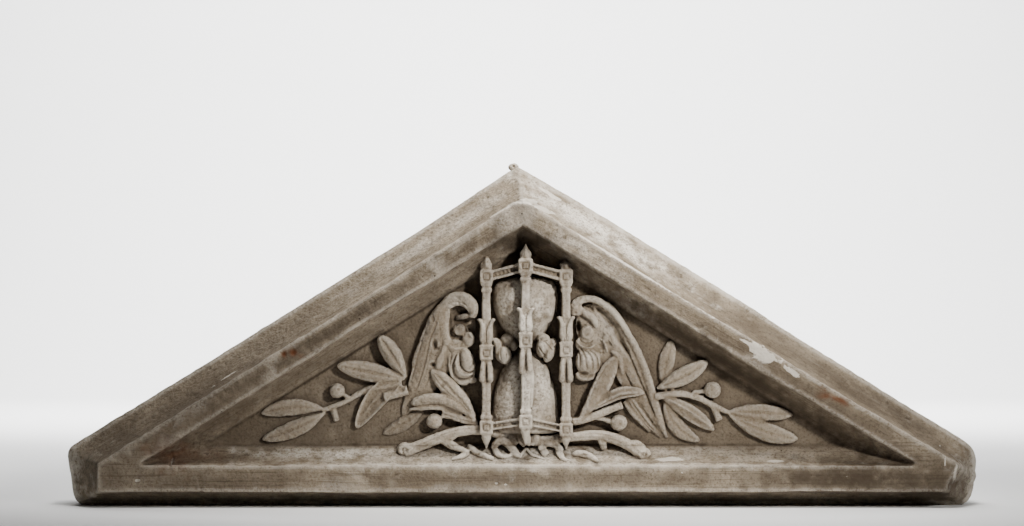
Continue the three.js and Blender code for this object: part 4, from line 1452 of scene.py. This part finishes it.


# Wear, painted shade and painted highlights seen as colour


@dataclass
class SurfaceReading:
    """Heights of the whole front on a grid, from which hollows and worn edges are told."""

    step: float = 1.4
    margin: float = 12.0
    x0: float = 0.0
    z0: float = 0.0
    depth: np.ndarray = field(default_factory=lambda: np.zeros((1, 1)))

    def take(self, pieces: list[bpy.types.Object]) -> None:
        """Feels the front of all pieces with straight probes.

        Args:
            pieces: the finished pieces.
        """
        low, high = (np.array(corner) / MM for corner in CAD_BOX)
        self.x0, self.z0 = low[0] - self.margin, low[2] - self.margin
        columns = int((high[0] - low[0] + 2 * self.margin) / self.step)
        rows = int((high[2] - low[2] + 2 * self.margin) / self.step)
        self.depth = np.full((rows, columns), SIZES.back)
        ahead = Vector((0, 1, 0))
        for piece in pieces:
            tree = BVHTree.FromPolygons([v.co for v in piece.data.vertices],
                                        [p.vertices for p in piece.data.polygons])
            points = read_points(piece.data)
            span_x = (points[:, 0].min(), points[:, 0].max())
            span_z = (points[:, 2].min(), points[:, 2].max())
            for r in self.cells(span_z, self.z0, rows):
                z = (self.z0 + r * self.step) * MM
                for c in self.cells(span_x, self.x0, columns):
                    hit = tree.ray_cast(Vector(((self.x0 + c * self.step) * MM, -0.2, z)), ahead)[0]
                    if hit is not None and hit.y / MM < self.depth[r, c]:
                        self.depth[r, c] = hit.y / MM

    def cells(self, span: Pair, start: float, count: int) -> range:
        """Grid lines that cross a span."""
        first, last = (int((end - start) / self.step) for end in span)
        return range(max(0, first), min(count, last + 2))

    def blurred(self, radius: float) -> np.ndarray:
        """The grid's depths, spread out over a radius.

        Args:
            radius: how far, in millimetres.

        Returns:
            A grid of the same size.
        """
        rows, columns = self.depth.shape
        fz = np.fft.fftfreq(rows, self.step)[:, None]
        fx = np.fft.rfftfreq(columns, self.step)[None, :]
        spread = np.exp(-2 * (math.pi * radius) ** 2 * (fx * fx + fz * fz))
        return np.fft.irfft2(np.fft.rfft2(self.depth) * spread, s=self.depth.shape)

    def at(self, grid: np.ndarray, points: np.ndarray) -> np.ndarray:
        """Reads a grid at points, between its cells.

        Args:
            grid: the grid to read.
            points: places in millimetres.

        Returns:
            One number for each point.
        """
        c = np.clip((points[:, 0] - self.x0) / self.step, 0, grid.shape[1] - 1.001)
        r = np.clip((points[:, 2] - self.z0) / self.step, 0, grid.shape[0] - 1.001)
        c0, r0 = c.astype(int), r.astype(int)
        u, v = c - c0, r - r0
        return ((grid[r0, c0] * (1 - u) + grid[r0, c0 + 1] * u) * (1 - v)
                + (grid[r0 + 1, c0] * (1 - u) + grid[r0 + 1, c0 + 1] * u) * v)


STAINS = (  # rust and brown spots
    Mark(-296, 201, 9, 8, 1.0), Mark(-308, 199, 7, 8, 1.0), Mark(408, 140, 24, 7, 1.0, -0.35),
    Mark(392, 145, 12, 5, 0.7), Mark(-455, 70, 40, 26, 0.55), Mark(-430, 66, 70, 14, 0.4),
)
PAINTED_HIGHLIGHTS = (  # painted highlights: paler where the light falls on the bulbs, posts, upper slopes, sill and arrises, and on the shaded end faces
    Mark(150, 72, 160, 10, 0.4), Mark(-140, 66, 230, 9, 0.45), Mark(-606, 40, 50, 90, 0.9),
    Mark(606, 40, 50, 80, 0.7), Mark(90, 366, 190, 24, 1.0, -0.557),
    Mark(230, 306, 130, 16, 0.4, -0.557), Mark(70, 339, 110, 12, 0.5, -0.557),
    Mark(-100, 360, 170, 12, 0.5, 0.557), Mark(0, 56.5, 460, 3.4, 0.8), Mark(6, 255, 58, 62, 0.9),
    Mark(8, 150, 62, 86, 0.78), Mark(60, 200, 12, 150, 0.3), Mark(120, 240, 60, 40, 0.35),
    Mark(-85, 265, 30, 20, 0.4), Mark(-78, 185, 20, 30, 0.3), Mark(0, 92, 190, 16, 0.4),
    Mark(10, 68, 260, 20, 0.8), Mark(-250, 69, 170, 14, 0.9), Mark(290, 66, 140, 12, 0.3),
    Mark(84, 192, 20, 16, 0.6),
)
SCUFFS = (  # chips and scrapes with sharp edges
    Mark(311, 199, 38, 11, 1.0, -0.5), Mark(345, 178, 26, 8, 0.7, -0.55),
    Mark(288, 214, 20, 5, 0.8, -0.55), Mark(5, 396, 26, 6, 0.9), Mark(25, 388, 26, 5, 0.9, -0.5),
    Mark(-14, 392, 20, 4, 0.8, 0.5), Mark(-455, 60, 3, 12, 0.8), Mark(-497, 36, 6, 3, 0.8),
    Mark(545, 60, 4, 22, 0.6), Mark(-345, 102, 12, 4, 0.7), Mark(560, 45, 8, 26, 0.5),
    Mark(-296, 27, 12, 3, 0.7), Mark(-34, 32, 5, 2.6, 0.8), Mark(-22, 31, 4, 2.4, 0.8),
    Mark(30, 412, 30, 4, 0.7, -0.557), Mark(-30, 383, 24, 3, 0.7, 0.557),
    Mark(-610, 30, 20, 60, 0.5), Mark(140, 311, 150, 2.6, 0.75, -0.557), Mark(420, 40, 30, 3, 0.5),
    Mark(210, 46, 40, 2.6, 0.5), Mark(-380, 172, 30, 2.4, 0.6, 0.557), Mark(190, 62, 34, 4, 0.8),
    Mark(330, 60, 30, 3, 0.6),
)
PAINTED_SHADE_AND_SOOT = (  # broad darker areas: painted shade where the light falls off towards the ends and the foot, painted shadow along the rakes' reveals, under the apex and in the wings' hollows, with some soot
    Mark(-520, 70, 110, 80, 0.6), Mark(-400, 140, 200, 60, 0.7, 0.557),
    Mark(-430, 35, 330, 34, 0.6), Mark(520, 30, 220, 60, 0.8), Mark(430, 38, 260, 34, 1.0),
    Mark(0, 8, 700, 24, 0.75), Mark(-300, 100, 260, 90, 0.25), Mark(20, 200, 330, 170, 0.2),
    Mark(-260, 220, 420, 18, 0.85, 0.557), Mark(260, 190, 420, 20, 1.0, -0.557),
    Mark(330, 176, 300, 18, 0.7, -0.557), Mark(-260, 190, 400, 15, 0.5, 0.557),
    Mark(0, 38, 560, 17, 0.65), Mark(420, 160, 240, 22, 0.75, -0.557), Mark(0, 345, 90, 26, 1.0),
    Mark(60, 318, 90, 18, 0.9, -0.557), Mark(-82, 242, 15, 24, 0.9), Mark(72, 234, 7, 11, 1.0),
    Mark(112, 236, 32, 9, 0.7, -0.977), Mark(490, 122, 130, 22, 0.8, -0.557),
    Mark(-225, 197.8, 260, 2.6, 1.0, 0.557), Mark(240, 188.4, 240, 2.6, 1.0, -0.557),
    Mark(0, 80, 460, 2.2, 0.8), Mark(360, 198, 300, 26, 0.6, -0.557),
    Mark(-330, 217, 300, 26, 0.45, 0.557), Mark(-16, 91, 18, 13, 0.9), Mark(38, 91, 16, 13, 0.9),
    Mark(114, 146, 26, 18, 0.55),
)


@dataclass
class Weathering:
    """Works out where dust, wear, stains, painted shade and painted highlights lie, and writes them on
    the pieces.
    """

    reading: SurfaceReading
    near: Triple = (2.4, 2.2, 0.4)  # spread of the front, depth at which the dust and painted shade are full, its share
    mid: Triple = (7.0, 12.0, 0.4)
    wide: Triple = (20.0, 40.0, 0.25)
    edge: float = 1.5  # how far an arris stands out where it is worn pale
    buried: Pair = (1.5, 9.0)  # depth behind the front where a form is hidden, and over what depth
    # how much darker the sunk panel inside the opening is painted
    panel_darkening: float = 0.42
    carving_drag: float = 0.12  # how much of the drawn marks the carving shows
    spreads: list[np.ndarray] = field(default_factory=list)

    def __post_init__(self) -> None:
        """Spreads the front's heights out over small, middling and large radii."""
        radii = (self.near[0], self.mid[0], self.wide[0])
        self.spreads = [self.reading.blurred(radius) for radius in radii]

    def marks(self, marks: tuple[Mark, ...], points: np.ndarray, seed: int) -> np.ndarray:
        """Strength of a set of marks at each point, with ragged edges.

        Args:
            marks: the marks.
            points: places in millimetres.
            seed: picks the raggedness.

        Returns:
            A number from 0 to 1 for each point.
        """
        ragged = 1.0 + 0.45 * noise(points, 13, seed) + 0.25 * noise(points, 4.5, seed + 1)
        total = np.zeros(len(points))
        for mark in marks:
            away = mark.reach(points[:, 0], points[:, 2]) * ragged
            total = np.maximum(total, mark.depth * bump(away))
        return total

    def grain(self, points: np.ndarray) -> np.ndarray:
        """Direction of the tool marks: places along and across the nearest moulding.

        Args:
            points: places in millimetres.

        Returns:
            Along, across and depth in metres for each point.
        """
        cos, sin = math.cos(SIZES.pitch), math.sin(SIZES.pitch)
        x, y, z = points.T
        on_foot = z < 92
        along = np.where(on_foot, x, np.abs(x) * cos - z * sin + 2000 * np.sign(x))
        across = np.where(on_foot, z, np.abs(x) * sin + z * cos)
        return np.stack([along, across, y], axis=1) * MM

    def apply(self, piece: bpy.types.Object) -> None:
        """Writes the marks on one piece.

        Args:
            piece: the piece to mark.
        """
        mesh = piece.data
        points = read_points(mesh)
        y = points[:, 1]
        near, mid, wide = (self.reading.at(spread, points) for spread in self.spreads)
        surface = self.reading.at(self.reading.depth, points)
        buried = np.clip((y - surface - self.buried[0]) / self.buried[1], 0.0, 1.0)
        # Dust and painted shade: darker the deeper a point lies below the spread-out front.
        hollow = np.zeros(len(points))
        sinks = ((surface - near, self.near), (y - mid, self.mid), (y - wide, self.wide))
        for below, (_, depth, share) in sinks:
            hollow += np.clip(below / depth, 0, 1) * share
        front = y < SIZES.front + SIZES.cove_depth + 25
        floor = np.clip((y - SIZES.panel + 7) / 5, 0, 1) * front
        gable = 350 - np.abs(points[:, 0]) * math.tan(SIZES.pitch)
        opening = (points[:, 2] > 60) & (points[:, 2] < gable)
        # painted shade and soot from the marks, plus the sunk panel inside the opening painted darker
        soot_and_shade = np.clip(self.marks(PAINTED_SHADE_AND_SOOT, points, 35) + floor * opening * self.panel_darkening, 0, 1)
        raised = np.where(opening, np.clip((SIZES.panel - 3 - y) / 6, 0, 1), 1.0) * front
        worn = np.clip((near - y) / self.edge, 0, 1) * (1 - buried) * (1 - 0.7 * soot_and_shade)
        drawn = 1.0 if piece.name == "block" else self.carving_drag
        values = {
            # dust and painted shade in hollows and creases and on forms hidden behind others
            "hollow": np.clip(np.where(front, hollow + buried * 0.6, 0.15), 0, 1),
            "worn": np.where(front, worn, 0.1),
            "drawn": drawn * (1 - 0.7 * floor) * front,
            "stain": self.marks(STAINS, points, 31) * front,
            # painted highlights, only on forms that stand in front of the panel
            "pale_and_highlight": self.marks(PAINTED_HIGHLIGHTS, points, 33) * raised,
            "scuff": self.marks(SCUFFS, points, 37) * raised,
            "soot_and_shade": soot_and_shade,
        }
        for name, value in values.items():
            layer = mesh.attributes.new(name, "FLOAT", "POINT")
            layer.data.foreach_set("value", value.astype(np.float32))
        layer = mesh.attributes.new("grain", "FLOAT_VECTOR", "POINT")
        layer.data.foreach_set("vector", self.grain(points).astype(np.float32).ravel())


# Finish


@dataclass
class Bench:
    """Lays patterns and colours out in one material's node tree."""

    tree: bpy.types.NodeTree

    def attribute(self, name: str, output: str = "Fac") -> Socket:
        """A value written on the mesh.

        Args:
            name: the value's name.
            output: which output of its node is used.

        Returns:
            The value.
        """
        node = self.tree.nodes.new("ShaderNodeAttribute")
        node.attribute_name = name
        return node.outputs[output]

    def noise(self, place: Socket, scale: float, detail: float, rough: float) -> Socket:
        """Random mottling.

        Args:
            place: where on the piece.
            scale: how many spots to a metre.
            detail: how many finer layers it has.
            rough: how strong the finer layers are.

        Returns:
            A value from 0 to 1.
        """
        node = self.tree.nodes.new("ShaderNodeTexNoise")
        node.inputs["Scale"].default_value = scale
        node.inputs["Detail"].default_value = detail
        node.inputs["Roughness"].default_value = rough
        self.tree.links.new(place, node.inputs["Vector"])
        return node.outputs["Fac"]

    def stretch(self, place: Socket, scale: Triple) -> Socket:
        """Places drawn out along one direction.

        Args:
            place: where on the piece.
            scale: factor along each direction.

        Returns:
            The drawn out places.
        """
        node = self.tree.nodes.new("ShaderNodeVectorMath")
        node.operation = "MULTIPLY"
        node.inputs[1].default_value = scale
        self.tree.links.new(place, node.inputs[0])
        return node.outputs["Vector"]

    def ramp(self, value: Socket, low: float, high: float) -> Socket:
        """Spreads a range of values over 0 to 1.

        Args:
            value: the value.
            low: what becomes 0.
            high: what becomes 1.

        Returns:
            The spread value.
        """
        node = self.tree.nodes.new("ShaderNodeMapRange")
        node.interpolation_type = "SMOOTHSTEP"
        node.inputs["From Min"].default_value = low
        node.inputs["From Max"].default_value = high
        self.tree.links.new(value, node.inputs["Value"])
        return node.outputs["Result"]

    def combine(self, operation: str, first: Socket, second: Socket | float) -> Socket:
        """One sum on two values.

        Args:
            operation: the sum's name.
            first: the first value.
            second: the second value or a number.

        Returns:
            The result.
        """
        node = self.tree.nodes.new("ShaderNodeMath")
        node.operation = operation
        self.tree.links.new(first, node.inputs[0])
        if isinstance(second, float):
            node.inputs[1].default_value = second
        else:
            self.tree.links.new(second, node.inputs[1])
        return node.outputs["Value"]

    def scaled(self, value: Socket, share: float) -> Socket:
        """A share of a value."""
        return self.combine("MULTIPLY", value, share)

    def times(self, first: Socket, second: Socket) -> Socket:
        """The product of two values."""
        return self.combine("MULTIPLY", first, second)

    def add(self, first: Socket, second: Socket) -> Socket:
        """The sum of two values."""
        return self.combine("ADD", first, second)

    def mix(self, share: Socket, first: Socket | Triple, second: Triple) -> Socket:
        """One colour laid over another.

        Args:
            share: how much of the second shows.
            first: the colour beneath.
            second: the colour on top.

        Returns:
            The mixed colour.
        """
        node = self.tree.nodes.new("ShaderNodeMix")
        node.data_type = "RGBA"
        self.tree.links.new(share, node.inputs["Factor"])
        if isinstance(first, tuple):
            node.inputs[6].default_value = (*first, 1.0)
        else:
            self.tree.links.new(first, node.inputs[6])
        node.inputs[7].default_value = (*second, 1.0)
        return node.outputs[2]

    def pits(self, place: Socket) -> Socket:
        """Pinholes.

        Args:
            place: where on the piece.

        Returns:
            1 in a hole and 0 elsewhere.
        """
        cells = self.tree.nodes.new("ShaderNodeTexVoronoi")
        cells.inputs["Scale"].default_value = 62.0
        self.tree.links.new(place, cells.inputs["Vector"])
        near = self.ramp(cells.outputs["Distance"], 0.085, 0.05)
        chance = self.tree.nodes.new("ShaderNodeSeparateColor")
        self.tree.links.new(cells.outputs["Color"], chance.inputs["Color"])
        few = self.combine("GREATER_THAN", chance.outputs["Red"], 0.82)
        return self.times(near, few)


@dataclass
class Patterns:
    """Mottling that the finish's colour and relief share."""

    broad: Socket
    blotch: Socket
    lumps: Socket
    fine: Socket
    streak: Socket
    pits: Socket
    drawn: Socket


@dataclass(frozen=True)
class CastStone:
    """Weathered cast stone: matt, mottled and streaked, dusty and painted with shade in its hollows,
    pale on its arrises, with patches of painted shade and painted highlights.
    """

    name: str = "cast_stone"
    pale: Triple = (0.3, 0.246, 0.18)
    middle: Triple = (0.19, 0.15, 0.105)
    deep: Triple = (0.085, 0.064, 0.042)
    # colour of dust and of painted shade in hollows and pinholes
    dust_and_shade: Triple = (0.036, 0.024, 0.014)
    rust: Triple = (0.1, 0.034, 0.012)
    # pale colour of worn arrises and scuffs, and of the painted highlights
    pale_and_highlight: Triple = (0.8, 0.74, 0.64)
    # colour of soot and of painted shade
    soot_and_shade: Triple = (0.055, 0.04, 0.026)
    roughness: float = 0.9
    specular: float = 0.18
    relief: float = 1.4  # height of the finest grit in millimetres
    drag: Triple = (9.0, 330.0, 330.0)

    def make(self) -> bpy.types.Material:
        """Builds the material.

        Returns:
            The new material.
        """
        material = bpy.data.materials.new(self.name)
        material.use_nodes = True
        tree = material.node_tree
        bench = Bench(tree)
        shader = tree.nodes["Principled BSDF"]
        shader.inputs["Specular IOR Level"].default_value = self.specular
        place = tree.nodes.new("ShaderNodeTexCoord").outputs["Object"]
        grain = bench.attribute("grain", "Vector")
        patterns = Patterns(
            broad=bench.noise(place, 9.0, 3.0, 0.55),
            blotch=bench.noise(place, 46.0, 4.0, 0.6),
            lumps=bench.noise(place, 165.0, 2.0, 0.5),
            fine=bench.noise(place, 300.0, 4.0, 0.7),
            streak=bench.noise(bench.stretch(grain, self.drag), 1.0, 5.0, 0.75),
            pits=bench.pits(place),
            drawn=bench.attribute("drawn"),
        )
        tree.links.new(self.colour(bench, patterns), shader.inputs["Base Color"])
        rough = tree.nodes.new("ShaderNodeMapRange")
        rough.inputs["To Min"].default_value = self.roughness - 0.1
        rough.inputs["To Max"].default_value = self.roughness + 0.08
        tree.links.new(patterns.blotch, rough.inputs["Value"])
        tree.links.new(rough.outputs["Result"], shader.inputs["Roughness"])
        relief = tree.nodes.new("ShaderNodeBump")
        relief.inputs["Strength"].default_value = 0.9
        relief.inputs["Distance"].default_value = self.relief * MM
        tree.links.new(self.height(bench, patterns), relief.inputs["Height"])
        tree.links.new(relief.outputs["Normal"], shader.inputs["Normal"])
        return material

    def colour(self, bench: Bench, patterns: Patterns) -> Socket:
        """Lays the colours one over another, from bare stone to pinholes, painted shade and painted
        highlights among them.

        Args:
            bench: where the nodes are made.
            patterns: the shared mottling.

        Returns:
            The colour.
        """
        blotch, fine = patterns.blotch, patterns.fine
        lines = bench.times(bench.ramp(patterns.streak, 0.52, 0.62), patterns.drawn)
        # painted shade and soot, broken up by the blotches
        soot_and_shade = bench.times(bench.attribute("soot_and_shade"), bench.ramp(blotch, 0.0, 0.5))
        worn = bench.times(bench.attribute("worn"), bench.ramp(fine, 0.3, 0.6))
        # painted highlights, broken up by the blotches and the fine mottling
        pale_and_highlight = bench.times(bench.attribute("pale_and_highlight"), bench.ramp(blotch, 0.7, 0.4))
        pale_and_highlight = bench.times(pale_and_highlight, bench.ramp(fine, 0.75, 0.4))
        scuff = bench.add(bench.attribute("scuff"), bench.scaled(fine, 0.5))
        rust = bench.times(bench.attribute("stain"), bench.ramp(blotch, 0.25, 0.5))
        layers = (
            (bench.ramp(patterns.broad, 0.3, 0.7), 1.0, self.pale),
            (bench.ramp(blotch, 0.52, 0.7), 0.3, self.deep),
            (lines, 0.62, self.deep),
            (bench.ramp(fine, 0.5, 0.62), 0.55, self.deep),
            (soot_and_shade, 1.0, self.soot_and_shade),
            (worn, 0.34, self.pale_and_highlight),
            (pale_and_highlight, 0.8, self.pale_and_highlight),
            (bench.ramp(scuff, 0.58, 0.72), 0.55, self.pale_and_highlight),
            # dust and painted shade in the hollows
            (bench.attribute("hollow"), 0.52, self.dust_and_shade),
            (rust, 1.0, self.rust),
            # pinholes painted dark: dust and painted shade in them
            (patterns.pits, 0.85, self.dust_and_shade),
        )
        colour = self.middle
        for where, share, over in layers:
            colour = bench.mix(bench.scaled(where, share), colour, over)
        return colour

    def height(self, bench: Bench, patterns: Patterns) -> Socket:
        """Grit, drawn lines and pinholes too fine for the mesh.

        Args:
            bench: where the nodes are made.
            patterns: the shared mottling.

        Returns:
            The height.
        """
        ruled = bench.times(patterns.streak, patterns.drawn)
        height = bench.add(bench.scaled(patterns.fine, 1.3), bench.scaled(ruled, 1.1))
        height = bench.add(height, bench.scaled(patterns.lumps, 1.8))
        return bench.add(height, bench.scaled(patterns.pits, -1.6))


# Surroundings


@dataclass(frozen=True)
class Lamp:
    """One soft light.

    place, aim and side are in metres, power in watts, and spread is its beam's angle in degrees.
    """

    name: str
    place: Triple
    aim: Triple
    power: float
    side: float
    spread: float
    colour: Triple = (1.0, 1.0, 1.0)

    def build(self) -> None:
        """Adds the light to the scene."""
        lamp = bpy.data.lights.new(self.name, "AREA")
        lamp.energy, lamp.size, lamp.color = self.power, self.side, self.colour
        lamp.spread = math.radians(self.spread)
        holder = bpy.data.objects.new(self.name, lamp)
        holder.location = self.place
        facing = Vector(self.aim) - Vector(self.place)
        holder.rotation_euler = facing.to_track_quat("-Z", "Y").to_euler()
        bpy.context.collection.objects.link(holder)


@dataclass(frozen=True)
class Studio:
    """Pale floor that sweeps up behind, a soft key light from the upper right, and the camera."""

    camera_place: Triple = (-0.0138, -3.58, 0.2236)
    lens: float = 95.4
    sensor: float = 36.0
    shift: float = 0.0703
    floor: Triple = (0.86, 0.86, 0.855)
    lamps: tuple[Lamp, ...] = (
        Lamp("key", (1.32, -1.95, 1.1), (0.08, 0, 0.3), 3.5, 0.2, 34, (1.0, 0.98, 0.95)),
        Lamp("top", (0.2, -0.34, 1.9), (0.1, 0, 0.35), 5.4, 0.5, 52, (1.0, 0.985, 0.96)),
        Lamp("backdrop", (0.0, 3.4, 3.6), (0, 7.4, 0.6), 900.0, 3.4, 150),
        Lamp("floor", (0.0, 2.1, 2.4), (0, 2.2, 0), 75.0, 2.4, 110),
    )

    def build(self) -> None:
        """Builds floor, lights and camera."""
        self.sweep()
        for lamp in self.lamps:
            lamp.build()
        world = bpy.data.worlds.new("studio")
        world.use_nodes = True
        back = world.node_tree.nodes["Background"]
        back.inputs["Color"].default_value = (1.0, 1.0, 1.0, 1.0)
        back.inputs["Strength"].default_value = 0.02
        bpy.context.scene.world = world
        camera = bpy.data.cameras.new("camera")
        camera.lens, camera.sensor_width, camera.shift_y = self.lens, self.sensor, self.shift
        camera.clip_end = 50.0
        holder = bpy.data.objects.new("camera", camera)
        holder.location = self.camera_place
        holder.rotation_euler = (math.pi / 2, 0.0, 0.0)
        bpy.context.collection.objects.link(holder)
        bpy.context.scene.camera = holder

    def sweep(self) -> None:
        """Adds the floor, which curves up into a backdrop."""
        side, ahead, behind, radius = 8.0, -8.0, 6.0, 2.0
        line = [(ahead, 0.0)]
        for k in range(17):
            turn = math.pi / 2 * k / 16
            line.append((behind + radius * math.sin(turn), radius * (1 - math.cos(turn))))
        line.append((behind + radius, 6.0))
        points = [(x, y, z) for y, z in line for x in (-side, side)]
        faces = [(2 * i, 2 * i + 1, 2 * i + 3, 2 * i + 2) for i in range(len(line) - 1)]
        mesh = bpy.data.meshes.new("floor")
        mesh.from_pydata(points, [], faces)
        mesh.shade_smooth()
        floor = bpy.data.objects.new("floor", mesh)
        bpy.context.collection.objects.link(floor)
        paint = bpy.data.materials.new("floor_paint")
        paint.use_nodes = True
        paint.node_tree.nodes["Principled BSDF"].inputs["Base Color"].default_value = (*self.floor, 1.0)
        paint.node_tree.nodes["Principled BSDF"].inputs["Roughness"].default_value = 0.9
        mesh.materials.append(paint)


def main() -> None:
    """Builds every piece in order, then weathers and dresses them."""
    logging.basicConfig(level=logging.INFO, format="%(message)s")
    makers = [Block(), OliveSprays(), Sprigs(), LeftWing(), RightWing(), Hourglass(), Branches(),
              RidgeLump()]
    pieces = []
    for maker in makers:
        piece = maker.build()
        pieces.append(piece)
        LOG.info("%s: %d vertices", piece.name, len(piece.data.vertices))
    reading = SurfaceReading()
    reading.take(pieces)
    weathering = Weathering(reading)
    stone = CastStone().make()
    for piece in pieces:
        weathering.apply(piece)
        piece.data.shade_smooth()
        piece.data.materials.append(stone)
        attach(piece, "root")
        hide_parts(NODE)
    Studio().build()


if __name__ == "__main__":
    main()
